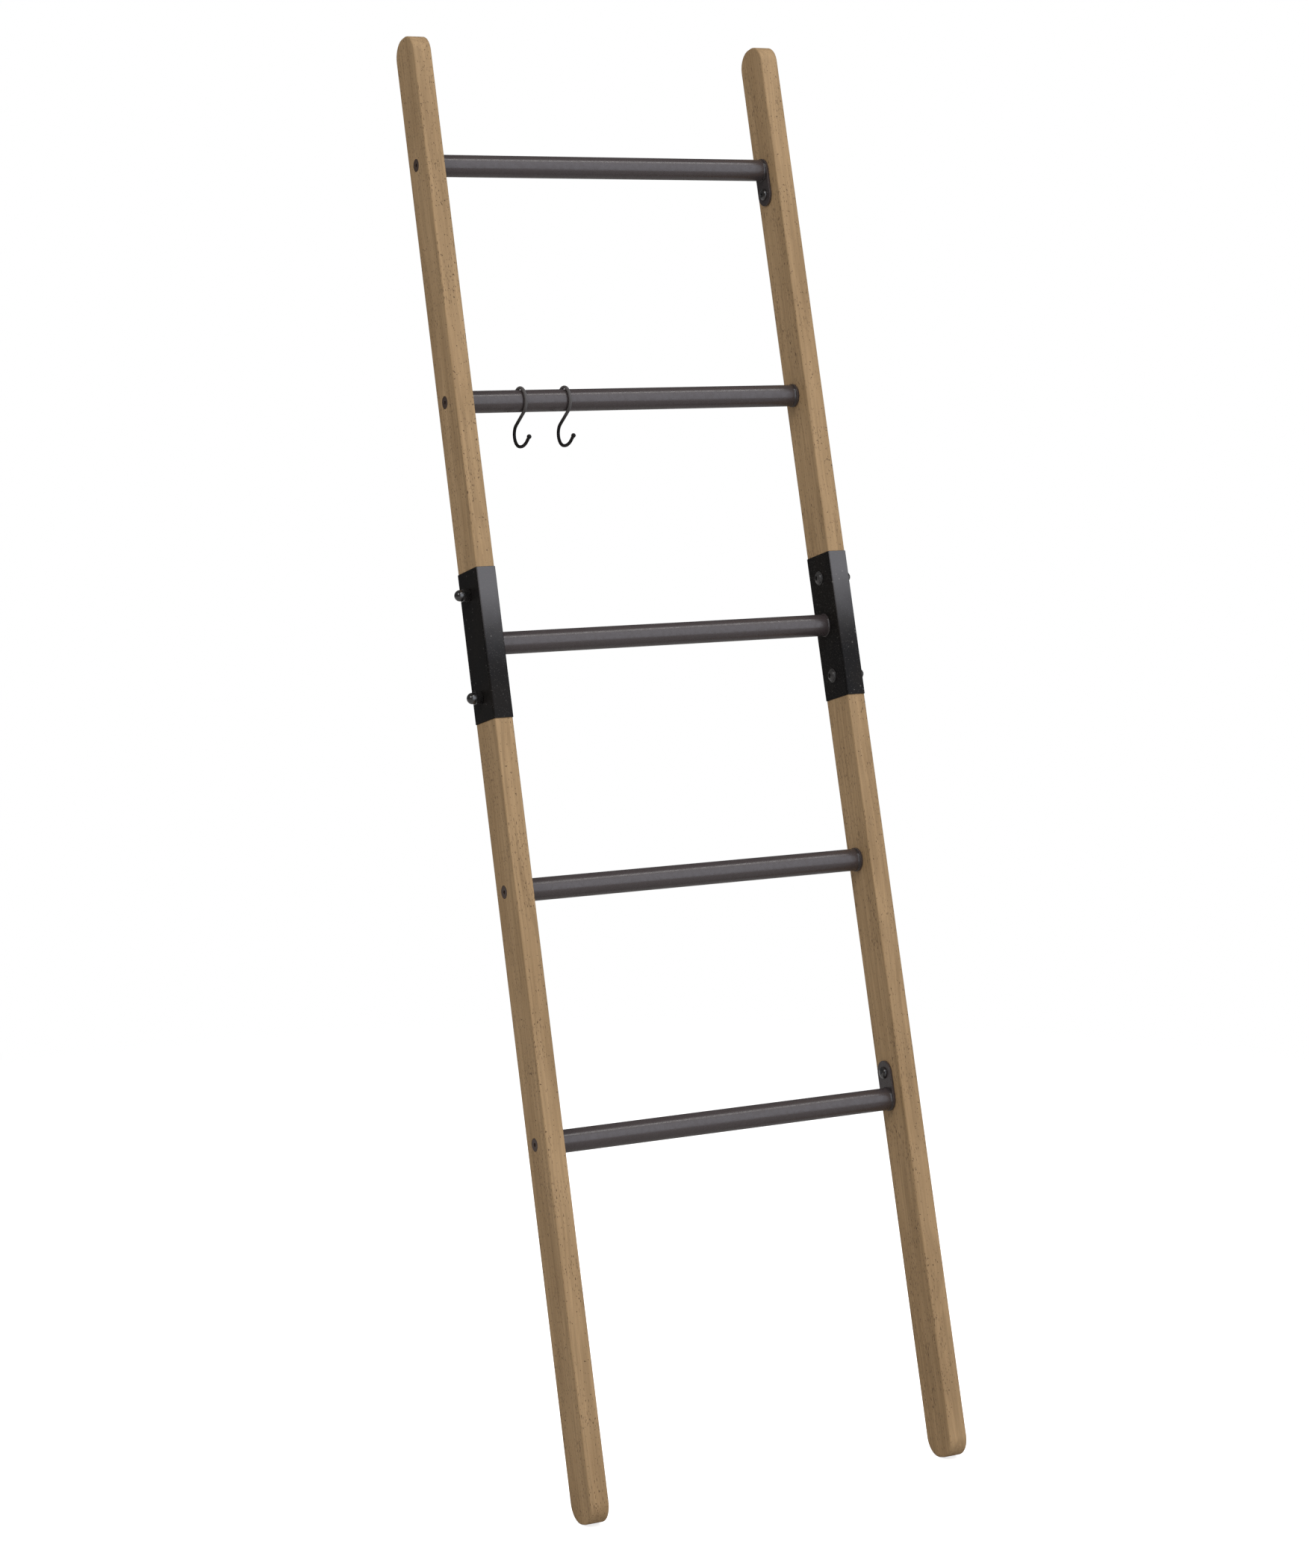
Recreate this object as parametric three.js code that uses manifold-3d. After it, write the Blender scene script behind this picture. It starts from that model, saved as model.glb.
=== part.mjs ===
// Leaning blanket ladder: two wooden rails in four halves, five steel rungs, steel sleeves at the
// middle joint, and two S hooks that hang on the second rung.
// Millimetres. X runs along the rungs, Z is up, and Y points to the wall that the ladder leans on.
// The origin is on the floor, below the middle of the ladder's bounding box.

import * as THREE from "three";
import { mergeVertices } from "three/addons/utils/BufferGeometryUtils.js";
import Module from "manifold-3d";

const wasm = await Module();
wasm.setup();

// ---- Driving dimensions -------------------------------------------------------------------------

const GAP = 0.3; // between pieces that touch
const LEAN = THREE.MathUtils.degToRad(15.8); // from upright, top towards the wall

const RAIL_SPACING = 453; // centre to centre
const RAIL_WIDTH = 22.4;
const RAIL_DEPTH = 50;
const RAIL_EDGE_RADIUS = 1.5;
const RAIL_END_FLAT = 6; // straight part of each rounded end
const RAIL_ABOVE_TOP_RUNG = 149.5;
const RAIL_BELOW_BOTTOM_RUNG = 405;

const RUNG_PITCH = 277;
const RUNG_DIAMETER = 25.4;
const RUNG_WALL = 1.5;
const RUNG_SET_BACK = 5.3; // behind the middle of the rail's depth
const WELD_LEG = 0.7; // fillet where a tube meets its end plate
const SLEEVE_WELD_LEG = 2.6; // fillet where the middle rung meets a sleeve

const PLATE_THICKNESS = 3;
const PLATE_RIM = 1.0; // plate beyond the tube
const TAB_SCREW_REACH = 17.3; // from the tube's outside to the tab's screw

const SLEEVE_LENGTH = 170;
const SLEEVE_WALL = 1.5;
const SLEEVE_PROUD = 1.0; // beyond the wood
const SLEEVE_CORNER_RADIUS = 2.5;
const SLEEVE_DROP = 2.5; // its middle, and the joint's, below the middle rung's axis
const SLEEVE_BOLT_INSET = 27; // from the sleeve's end
const SLEEVE_BOLT_SET_BACK = 2; // behind the middle of the rail's depth
const TENON_GAP = 1.0; // between the ends of the two rail halves

const RUNG_BOLT_DIAMETER = 6;
const RUNG_BOLT_HEAD = 14.4;
const RUNG_BOLT_RIM = 0.5;
const RUNG_BOLT_KEY = 4;
const RUNG_BOLT_KEY_DEPTH = 2.4;
const NUT_DIAMETER = 18;
const NUT_LENGTH = 12;

const SLEEVE_BOLT_DIAMETER = 8;
const SLEEVE_BOLT_FLANGE = 16.4;
const SLEEVE_BOLT_DOME = 14;
const SLEEVE_BOLT_HEAD_HEIGHT = 4.4;
const SLEEVE_BOLT_FLANGE_HEIGHT = 1.1;
const SLEEVE_BOLT_KEY = 5;
const SLEEVE_BOLT_KEY_DEPTH = 2.6;
const CAP_NUT_FLATS = 14;
const CAP_NUT_BASE = 8;
const CAP_NUT_DOME = 13;
const CAP_NUT_HEIGHT = 16.5;
const CAP_NUT_THREAD_DEPTH = 11.5;

const SCREW_DIAMETER = 5;
const SCREW_HEAD = 14;
const SCREW_HEAD_HEIGHT = 4;
const SCREW_TIP = 5;
const SCREW_TIP_COVER = 5; // wood left beyond the tip
const SCREW_SLOT_LENGTH = 7;
const SCREW_SLOT_WIDTH = 1.6;
const SCREW_SLOT_DEPTH = 2;

const HOOK_WIRE = 3.8;
const HOOK_CLEARANCE = 0.4; // between the wire and the rung
const HOOK_LOWER_RADIUS = 13.5; // to the middle of the wire
const HOOK_SHANK_SLOPE = THREE.MathUtils.degToRad(47.6); // from upright
const HOOK_BACK_DROOP = THREE.MathUtils.degToRad(14); // upper loop past level, behind the rung
const HOOK_FLARE_RADIUS = 28;
const HOOK_FLARE_SWEEP = THREE.MathUtils.degToRad(48);
const HOOK_TIP_LENGTH = 7;
const HOOK_TAIL_LENGTH = 4;
const HOOK_BALL = 5.4;
const HOOK_PLACES = [-143.5, -87.5]; // along the rung, from the ladder's middle

// ---- Sizes that follow --------------------------------------------------------------------------

const RUNG_COUNT = 5;
const MIDDLE_RUNG = 3; // welded to the sleeves
const BOLTED_RUNGS = [1, 2, 4, 5]; // bolted to the wood
const HOOK_RUNG = 2;
const TAB_RUNGS = { 1: -1, 5: 1 }; // rung number, and which way its tabs point along the rail
const INNER_FACE = (RAIL_SPACING - RAIL_WIDTH) / 2;
const RAIL_TOP = RUNG_PITCH * (RUNG_COUNT - MIDDLE_RUNG) + RAIL_ABOVE_TOP_RUNG;
const RAIL_BOTTOM = RUNG_PITCH * (MIDDLE_RUNG - 1) + RAIL_BELOW_BOTTOM_RUNG;
const RAIL_END_RADIUS = (RAIL_DEPTH - RAIL_END_FLAT) / 2;
const SLEEVE_WIDTH = RAIL_WIDTH + 2 * SLEEVE_PROUD;
const SLEEVE_DEPTH = RAIL_DEPTH + 2 * SLEEVE_PROUD;
const SLEEVE_BOLT_PLACE = SLEEVE_LENGTH / 2 - SLEEVE_BOLT_INSET;
const TENON_WIDTH = SLEEVE_WIDTH - 2 * (SLEEVE_WALL + GAP);
const TENON_DEPTH = SLEEVE_DEPTH - 2 * (SLEEVE_WALL + GAP);
const PLATE_RADIUS = RUNG_DIAMETER / 2 + PLATE_RIM;
const SCREW_PLACE = RUNG_DIAMETER / 2 + TAB_SCREW_REACH; // from the rung's axis, along the rail
const PLATE_INSIDE = -(GAP + PLATE_THICKNESS); // x of the plate's tube side, from the rail's face
const TUBE_END = PLATE_INSIDE - GAP;

// ---- Shape helpers ------------------------------------------------------------------------------

const ROUND = 24; // sides of a tube
const SMALL_ROUND = 12; // sides of a bolt or a bore
const ALONG_X = new THREE.Matrix4().makeBasis(
  new THREE.Vector3(0, 1, 0),
  new THREE.Vector3(0, 0, 1),
  new THREE.Vector3(1, 0, 0),
); // turns an outline drawn in depth and height, so that its thickness lies along X

function solid(geometry) {
  const bare = geometry.clone();
  bare.deleteAttribute("normal");
  bare.deleteAttribute("uv");
  const merged = mergeVertices(bare, 1e-4);
  const mesh = new wasm.Mesh({
    numProp: 3,
    vertProperties: new Float32Array(merged.attributes.position.array),
    triVerts: new Uint32Array(merged.index.array),
  });
  return new wasm.Manifold(mesh);
}

function geometryOf(manifold) {
  const { vertProperties, triVerts } = manifold.getMesh();
  const geometry = new THREE.BufferGeometry();
  geometry.setAttribute("position", new THREE.BufferAttribute(vertProperties, 3));
  geometry.setIndex(new THREE.BufferAttribute(triVerts, 1));
  geometry.computeVertexNormals();
  return geometry;
}

function joined(first, ...others) {
  return geometryOf(others.reduce((whole, other) => whole.add(solid(other)), solid(first)));
}

function cut(body, ...tools) {
  return geometryOf(tools.reduce((rest, tool) => rest.subtract(solid(tool)), solid(body)));
}

// A turned solid about X, from [x, radius] points that run from low x to high x round the outside.
function turned(points, sides) {
  const profile = points.map(([x, radius]) => new THREE.Vector2(radius, x));
  return new THREE.LatheGeometry(profile, sides).rotateZ(-Math.PI / 2);
}

function rod(radius, start, end, sides = SMALL_ROUND) {
  return turned([[start, 0], [start, radius], [end, radius], [end, 0]], sides);
}

function ring(inner, outer, start, end, sides) {
  return turned([[start, inner], [start, outer], [end, outer], [end, inner], [start, inner]], sides);
}

function hexRod(flats, start, end) {
  return rod(flats / Math.sqrt(3), start, end, 6);
}

// The points of a quarter dome that falls from the given radius at startX to the axis at endX.
function domePoints(radius, startX, endX, steps) {
  const points = [];
  for (let step = 0; step <= steps; step += 1) {
    const angle = (Math.PI / 2) * (step / steps);
    const reach = step === steps ? 0 : radius * Math.cos(angle);
    points.push([startX + (endX - startX) * Math.sin(angle), reach]);
  }
  return points;
}

function roundedRectangle(width, depth, radius, path = new THREE.Shape()) {
  const x = width / 2 - radius;
  const y = depth / 2 - radius;
  path.moveTo(width / 2, -y);
  path.lineTo(width / 2, y);
  path.absarc(x, y, radius, 0, Math.PI / 2);
  path.lineTo(-x, depth / 2);
  path.absarc(-x, y, radius, Math.PI / 2, Math.PI);
  path.lineTo(-width / 2, -y);
  path.absarc(-x, -y, radius, Math.PI, 1.5 * Math.PI);
  path.lineTo(x, -depth / 2);
  path.absarc(x, -y, radius, 1.5 * Math.PI, 2 * Math.PI);
  return path;
}

function bar(shape, start, end, curveSegments) {
  const options = { depth: end - start, bevelEnabled: false, curveSegments };
  return new THREE.ExtrudeGeometry(shape, options).translate(0, 0, start);
}

// ---- Finishes -----------------------------------------------------------------------------------

const wood = new THREE.MeshStandardMaterial({ color: 0xa18867, roughness: 0.68, metalness: 0 });
const tubeSteel = new THREE.MeshStandardMaterial({ color: 0x4b4546, roughness: 0.42, metalness: 0.6 });
const sleeveSteel = new THREE.MeshStandardMaterial({ color: 0x3a3637, roughness: 0.5, metalness: 0.5 });
const boltSteel = new THREE.MeshStandardMaterial({ color: 0x2b2625, roughness: 0.35, metalness: 0.8 });
const nutSteel = new THREE.MeshStandardMaterial({ color: 0x8b8b88, roughness: 0.4, metalness: 0.9 });
const hookSteel = new THREE.MeshStandardMaterial({ color: 0x1d1b1b, roughness: 0.45, metalness: 0.4 });

// ---- The ladder's own axes: X along the rungs, Y to the back, Z up the rails, 0 at the middle rung

const rack = new THREE.Group();
const ladder = new THREE.Group();
ladder.rotation.x = -LEAN;
rack.add(ladder);

const SIDES = { left: -1, right: 1 };
const rungHeight = (number) => (MIDDLE_RUNG - number) * RUNG_PITCH;

function place(parent, name, geometry, material, x = 0, y = 0, z = 0) {
  const mesh = new THREE.Mesh(geometry, material);
  mesh.name = name;
  mesh.position.set(x, y, z);
  parent.add(mesh);
  return mesh;
}

// A fitting is drawn with its X to the ladder's outside.
function fit(name, geometry, material, side, x, z, setBack = RUNG_SET_BACK) {
  const mesh = place(ladder, name, geometry, material, side * x, setBack, z);
  mesh.rotation.z = side > 0 ? 0 : Math.PI;
}

// ---- Rails: an upper and a lower half on each side, with a tenon that goes into the sleeve --------

// One half's side view from the sleeve to its rounded end; end is the height of that end.
function railOutline(end) {
  const up = Math.sign(end);
  const half = RAIL_DEPTH / 2;
  const corner = end - up * RAIL_END_RADIUS;
  const shape = new THREE.Shape();
  shape.moveTo(half, 0);
  shape.lineTo(half, corner);
  shape.absarc(half - RAIL_END_RADIUS, corner, RAIL_END_RADIUS, 0, (up * Math.PI) / 2, up < 0);
  shape.lineTo(RAIL_END_RADIUS - half, end);
  shape.absarc(RAIL_END_RADIUS - half, corner, RAIL_END_RADIUS, (up * Math.PI) / 2, up * Math.PI, up < 0);
  shape.lineTo(-half, 0);
  return shape;
}

function railBody(end) {
  const geometry = new THREE.ExtrudeGeometry(railOutline(end), {
    depth: RAIL_WIDTH - 2 * RAIL_EDGE_RADIUS,
    bevelThickness: RAIL_EDGE_RADIUS,
    bevelSize: RAIL_EDGE_RADIUS,
    bevelOffset: -RAIL_EDGE_RADIUS,
    bevelSegments: 2,
    curveSegments: 8,
  });
  geometry.translate(0, 0, RAIL_EDGE_RADIUS - RAIL_WIDTH / 2);
  return geometry.applyMatrix4(ALONG_X);
}

// Everything between the joint and the shoulders that meet the sleeve.
function shoulderCut() {
  const shoulder = SLEEVE_LENGTH / 2 + GAP;
  const block = new THREE.BoxGeometry(2 * RAIL_WIDTH, 2 * RAIL_DEPTH, 2 * shoulder);
  return block.translate(0, 0, -SLEEVE_DROP);
}

function tenon(up) {
  const shape = roundedRectangle(TENON_WIDTH, TENON_DEPTH, RAIL_EDGE_RADIUS);
  const rootDepth = RAIL_EDGE_RADIUS; // runs on into the rail
  const near = TENON_GAP / 2;
  const far = SLEEVE_LENGTH / 2 + GAP + rootDepth;
  const upright = up > 0 ? bar(shape, near, far, 2) : bar(shape, -far, -near, 2);
  return upright.translate(0, 0, -SLEEVE_DROP);
}

function rungBoltBore(side, height) {
  const shank = RUNG_BOLT_DIAMETER / 2 + GAP;
  const mouth = RUNG_BOLT_HEAD / 2 + GAP;
  const outside = RAIL_WIDTH / 2;
  const rimDepth = outside - RUNG_BOLT_RIM;
  const coneDepth = rimDepth - (mouth - shank);
  const bore = turned([
    [-RAIL_WIDTH, 0],
    [-RAIL_WIDTH, shank],
    [coneDepth, shank],
    [rimDepth, mouth],
    [RAIL_WIDTH, mouth],
    [RAIL_WIDTH, 0],
  ], SMALL_ROUND);
  return (side > 0 ? bore : bore.rotateZ(Math.PI)).translate(0, RUNG_SET_BACK, height);
}

function sleeveBoltBore(height) {
  const bore = rod(SLEEVE_BOLT_DIAMETER / 2 + GAP, -RAIL_WIDTH, RAIL_WIDTH);
  return bore.translate(0, SLEEVE_BOLT_SET_BACK, height);
}

function screwBore(side, height) {
  const inside = RAIL_WIDTH / 2;
  const end = inside - SCREW_TIP_COVER + GAP;
  const bore = rod(SCREW_DIAMETER / 2 + GAP, -RAIL_WIDTH, end);
  return (side > 0 ? bore : bore.rotateZ(Math.PI)).translate(0, RUNG_SET_BACK, height);
}

function railHalf(side, up) {
  const end = up > 0 ? RAIL_TOP : -RAIL_BOTTOM;
  const numbers = BOLTED_RUNGS.filter((number) => Math.sign(rungHeight(number)) === up);
  const bores = numbers.map((number) => rungBoltBore(side, rungHeight(number)));
  for (const number of numbers.filter((candidate) => candidate in TAB_RUNGS)) {
    bores.push(screwBore(side, rungHeight(number) + TAB_RUNGS[number] * SCREW_PLACE));
  }
  bores.push(sleeveBoltBore(up * SLEEVE_BOLT_PLACE - SLEEVE_DROP));
  const shouldered = cut(railBody(end), shoulderCut());
  return cut(joined(shouldered, tenon(up)), ...bores);
}

for (const [sideName, side] of Object.entries(SIDES)) {
  for (const [halfName, up] of Object.entries({ upper: 1, lower: -1 })) {
    place(ladder, `${sideName}_rail_${halfName}`, railHalf(side, up), wood, (side * RAIL_SPACING) / 2);
  }
}

// ---- Sleeves: rectangular steel tube over the joint between the rail halves ----------------------

function sleeve() {
  const shape = roundedRectangle(SLEEVE_WIDTH, SLEEVE_DEPTH, SLEEVE_CORNER_RADIUS);
  const innerRadius = SLEEVE_CORNER_RADIUS - SLEEVE_WALL;
  const innerWidth = SLEEVE_WIDTH - 2 * SLEEVE_WALL;
  const innerDepth = SLEEVE_DEPTH - 2 * SLEEVE_WALL;
  shape.holes.push(roundedRectangle(innerWidth, innerDepth, innerRadius, new THREE.Path()));
  const body = bar(shape, -SLEEVE_LENGTH / 2, SLEEVE_LENGTH / 2, 2);
  return cut(body, sleeveBoltBore(SLEEVE_BOLT_PLACE), sleeveBoltBore(-SLEEVE_BOLT_PLACE));
}

for (const [sideName, side] of Object.entries(SIDES)) {
  const middle = (side * RAIL_SPACING) / 2;
  place(ladder, `${sideName}_sleeve`, sleeve(), sleeveSteel, middle, 0, -SLEEVE_DROP);
}

// ---- Rungs: steel tubes with a weld fillet at each end -------------------------------------------

function rungTube(halfLength, weldLeg) {
  const outer = RUNG_DIAMETER / 2;
  const inner = outer - RUNG_WALL;
  return turned([
    [-halfLength, inner],
    [-halfLength, outer + weldLeg],
    [-halfLength + weldLeg, outer],
    [halfLength - weldLeg, outer],
    [halfLength, outer + weldLeg],
    [halfLength, inner],
    [-halfLength, inner],
  ], ROUND);
}

for (let number = 1; number <= RUNG_COUNT; number += 1) {
  const atSleeve = number === MIDDLE_RUNG;
  const end = atSleeve ? (RAIL_SPACING - SLEEVE_WIDTH) / 2 - GAP : INNER_FACE + TUBE_END;
  const tube = rungTube(end, atSleeve ? SLEEVE_WELD_LEG : WELD_LEG);
  place(ladder, `rung_${number}`, tube, tubeSteel, 0, RUNG_SET_BACK, rungHeight(number));
}

// ---- Rung ends: a plate against the wood, a threaded bush in the tube, and a bolt from outside ---

function roundPlate() {
  const bore = RUNG_BOLT_DIAMETER / 2 + GAP;
  return ring(bore, PLATE_RADIUS, PLATE_INSIDE, -GAP, ROUND);
}

// The tab reaches from the rung's axis to the screw; up is 1 or -1.
function tabPlate(up) {
  const reach = up * SCREW_PLACE;
  const turn = up > 0 ? 0 : Math.PI;
  const shape = new THREE.Shape();
  shape.absarc(0, reach, PLATE_RADIUS, turn, turn + Math.PI);
  shape.absarc(0, 0, PLATE_RADIUS, turn + Math.PI, turn + 2 * Math.PI);
  const boltHole = new THREE.Path().absarc(0, 0, RUNG_BOLT_DIAMETER / 2 + GAP, 0, 2 * Math.PI);
  const screwHole = new THREE.Path().absarc(0, reach, SCREW_DIAMETER / 2 + GAP, 0, 2 * Math.PI);
  shape.holes.push(boltHole, screwHole);
  return bar(shape, PLATE_INSIDE, -GAP, 8).applyMatrix4(ALONG_X);
}

function bush() {
  const bore = RUNG_BOLT_DIAMETER / 2 + GAP;
  return ring(bore, NUT_DIAMETER / 2, TUBE_END - NUT_LENGTH, TUBE_END, SMALL_ROUND);
}

function rungBolt() {
  const shank = RUNG_BOLT_DIAMETER / 2;
  const head = RUNG_BOLT_HEAD / 2;
  const rim = RAIL_WIDTH - RUNG_BOLT_RIM;
  const body = turned([
    [TUBE_END - NUT_LENGTH, 0],
    [TUBE_END - NUT_LENGTH, shank],
    [rim - (head - shank), shank],
    [rim, head],
    [RAIL_WIDTH, head],
    [RAIL_WIDTH, 0],
  ], SMALL_ROUND);
  return cut(body, hexRod(RUNG_BOLT_KEY, RAIL_WIDTH - RUNG_BOLT_KEY_DEPTH, 2 * RAIL_WIDTH));
}

// A pan-head wood screw with a cross slot, driven from the tab into the rail.
function tabScrew() {
  const seat = PLATE_INSIDE - GAP;
  const crown = seat - SCREW_HEAD_HEIGHT;
  const shank = SCREW_DIAMETER / 2;
  const tip = RAIL_WIDTH - SCREW_TIP_COVER;
  const dome = domePoints(SCREW_HEAD / 2, seat, crown, 3).reverse();
  const body = turned([...dome, [seat, shank], [tip - SCREW_TIP, shank], [tip, 0]], SMALL_ROUND);
  const slotDepth = 2 * SCREW_SLOT_DEPTH;
  const acrossY = new THREE.BoxGeometry(slotDepth, SCREW_SLOT_LENGTH, SCREW_SLOT_WIDTH);
  const acrossZ = new THREE.BoxGeometry(slotDepth, SCREW_SLOT_WIDTH, SCREW_SLOT_LENGTH);
  return cut(body, acrossY.translate(crown, 0, 0), acrossZ.translate(crown, 0, 0));
}

for (const number of BOLTED_RUNGS) {
  for (const [sideName, side] of Object.entries(SIDES)) {
    const end = `rung_${number}_${sideName}`;
    const height = rungHeight(number);
    if (number in TAB_RUNGS) {
      const up = TAB_RUNGS[number];
      fit(`${end}_tab`, tabPlate(up), tubeSteel, side, INNER_FACE, height);
      fit(`${end}_screw`, tabScrew(), boltSteel, side, INNER_FACE, height + up * SCREW_PLACE);
    } else {
      fit(`${end}_plate`, roundPlate(), tubeSteel, side, INNER_FACE, height);
    }
    fit(`${end}_bush`, bush(), nutSteel, side, INNER_FACE, height);
    fit(`${end}_bolt`, rungBolt(), boltSteel, side, INNER_FACE, height);
  }
}

// ---- Sleeve bolts: a flanged button head inside and a cap nut outside ----------------------------

const CAP_NUT_SEAT = SLEEVE_WIDTH / 2 + GAP;

function sleeveBolt() {
  const seat = -(SLEEVE_WIDTH / 2 + GAP);
  const flange = seat - SLEEVE_BOLT_FLANGE_HEIGHT;
  const crown = seat - SLEEVE_BOLT_HEAD_HEIGHT;
  const shank = SLEEVE_BOLT_DIAMETER / 2;
  const tip = CAP_NUT_SEAT + CAP_NUT_THREAD_DEPTH - GAP;
  const dome = domePoints(SLEEVE_BOLT_DOME / 2, flange, crown, 3).reverse();
  const body = turned([
    ...dome,
    [flange, SLEEVE_BOLT_FLANGE / 2],
    [seat, SLEEVE_BOLT_FLANGE / 2],
    [seat, shank],
    [tip, shank],
    [tip, 0],
  ], SMALL_ROUND);
  const key = hexRod(SLEEVE_BOLT_KEY, crown - SLEEVE_BOLT_KEY_DEPTH, crown + SLEEVE_BOLT_KEY_DEPTH);
  return cut(body, key);
}

function capNut() {
  const base = CAP_NUT_SEAT + CAP_NUT_BASE;
  const crown = CAP_NUT_SEAT + CAP_NUT_HEIGHT;
  const domeStart = crown - CAP_NUT_DOME / 2;
  const dome = domePoints(CAP_NUT_DOME / 2, domeStart, crown, 4);
  const overlap = CAP_NUT_BASE / 2;
  const cap = turned([[base - overlap, 0], [base - overlap, CAP_NUT_DOME / 2], ...dome], SMALL_ROUND);
  const thread = rod(SLEEVE_BOLT_DIAMETER / 2 + GAP, 0, CAP_NUT_SEAT + CAP_NUT_THREAD_DEPTH);
  return cut(joined(hexRod(CAP_NUT_FLATS, CAP_NUT_SEAT, base), cap), thread);
}

for (const [sideName, side] of Object.entries(SIDES)) {
  for (const [placeName, up] of Object.entries({ upper: 1, lower: -1 })) {
    const height = up * SLEEVE_BOLT_PLACE - SLEEVE_DROP;
    const middle = RAIL_SPACING / 2;
    const setBack = SLEEVE_BOLT_SET_BACK;
    fit(`${sideName}_sleeve_bolt_${placeName}`, sleeveBolt(), boltSteel, side, middle, height, setBack);
    fit(`${sideName}_sleeve_nut_${placeName}`, capNut(), boltSteel, side, middle, height, setBack);
  }
}

// ---- The ladder stands on the floor, with the middle of its box above the origin -----------------

const ladderBox = new THREE.Box3().setFromObject(ladder, true);
const ladderMiddle = ladderBox.getCenter(new THREE.Vector3());
ladder.position.set(0, -ladderMiddle.y, -ladderBox.min.z);
ladder.updateMatrixWorld(true);

// ---- S hooks: wire bent round the second rung, hanging with their weight below its axis ----------

// The middle line of the wire, in depth and height from the rung's axis, from back end to front tip.
function hookLine() {
  const upper = RUNG_DIAMETER / 2 + HOOK_CLEARANCE + HOOK_WIRE / 2;
  const drop = (upper + HOOK_LOWER_RADIUS) / Math.sin(HOOK_SHANK_SLOPE);
  const leave = Math.PI + HOOK_SHANK_SLOPE; // where the shank leaves the upper loop
  const tail = new THREE.Vector2(Math.sin(HOOK_BACK_DROOP), Math.cos(HOOK_BACK_DROOP));
  const tailStart = new THREE.Vector2(tail.y, -tail.x).multiplyScalar(upper);
  const path = new THREE.Path();
  path.moveTo(tailStart.x - tail.x * HOOK_TAIL_LENGTH, tailStart.y - tail.y * HOOK_TAIL_LENGTH);
  path.lineTo(tailStart.x, tailStart.y);
  path.absarc(0, 0, upper, -HOOK_BACK_DROOP, leave, false);
  path.absarc(0, -drop, HOOK_LOWER_RADIUS, leave - Math.PI, -Math.PI / 2, true);
  const flareTop = HOOK_FLARE_RADIUS - HOOK_LOWER_RADIUS - drop;
  const flareEnd = -Math.PI / 2 - HOOK_FLARE_SWEEP;
  path.absarc(0, flareTop, HOOK_FLARE_RADIUS, -Math.PI / 2, flareEnd, true);
  const end = path.currentPoint.clone();
  const tipX = end.x - HOOK_TIP_LENGTH * Math.cos(HOOK_FLARE_SWEEP);
  const tipY = end.y + HOOK_TIP_LENGTH * Math.sin(HOOK_FLARE_SWEEP);
  path.lineTo(tipX, tipY);
  return path;
}

class HookCurve extends THREE.Curve {
  constructor(line) {
    super();
    this.line = line;
  }

  getPoint(t, target = new THREE.Vector3()) {
    const point = this.line.getPointAt(t);
    return target.set(0, point.x, point.y);
  }
}

function hook() {
  const line = hookLine();
  line.arcLengthDivisions = 1000;
  const curve = new HookCurve(line);
  const section = new THREE.Shape().absarc(0, 0, HOOK_WIRE / 2, 0, 2 * Math.PI);
  const options = { steps: 44, extrudePath: curve, curveSegments: 4 };
  const wire = new THREE.ExtrudeGeometry(section, options);
  const balls = [0, 1].map((t) => {
    const end = curve.getPoint(t);
    return new THREE.SphereGeometry(HOOK_BALL / 2, 8, 6).translate(end.x, end.y, end.z);
  });
  return joined(wire, ...balls);
}

function centroid(geometry) {
  const flat = geometry.toNonIndexed().attributes.position;
  const corners = [new THREE.Vector3(), new THREE.Vector3(), new THREE.Vector3()];
  const sum = new THREE.Vector3();
  let volume = 0;
  for (let start = 0; start < flat.count; start += 3) {
    corners.forEach((corner, index) => corner.fromBufferAttribute(flat, start + index));
    const [a, b, c] = corners;
    const part = a.dot(b.clone().cross(c)) / 6;
    volume += part;
    sum.addScaledVector(a.clone().add(b).add(c), part / 4);
  }
  return sum.divideScalar(volume);
}

const rungAxis = ladder.localToWorld(new THREE.Vector3(0, RUNG_SET_BACK, rungHeight(HOOK_RUNG)));
const hookShape = hook();
const weight = centroid(hookShape);
const hangTurn = -Math.atan2(weight.y, -weight.z);

["hook_left", "hook_right"].forEach((name, index) => {
  const mesh = place(rack, name, hookShape, hookSteel, HOOK_PLACES[index], rungAxis.y, rungAxis.z);
  mesh.rotation.x = hangTurn;
});

export default rack;
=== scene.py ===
"""Leaning blanket ladder: finished pieces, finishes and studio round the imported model.

Two wooden rails in four halves, five painted steel rungs, steel sleeves at the middle joint and
two S hooks on the second rung. The world is in metres: X runs along the rungs, Z is up and Y
points to the wall. Pieces are drawn in millimetres in the ladder's own axes (X along the rungs,
Y to the back, Z up the rails, 0 at the joint) and are then put in their places.
"""

import logging
import math
from dataclasses import dataclass, field
from enum import Enum
from typing import Any, Callable, Dict, Iterable, List, Optional, Sequence, Tuple

import bmesh
import bpy
from bmesh.types import BMesh, BMEdge
from mathutils import Matrix, Vector


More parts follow.
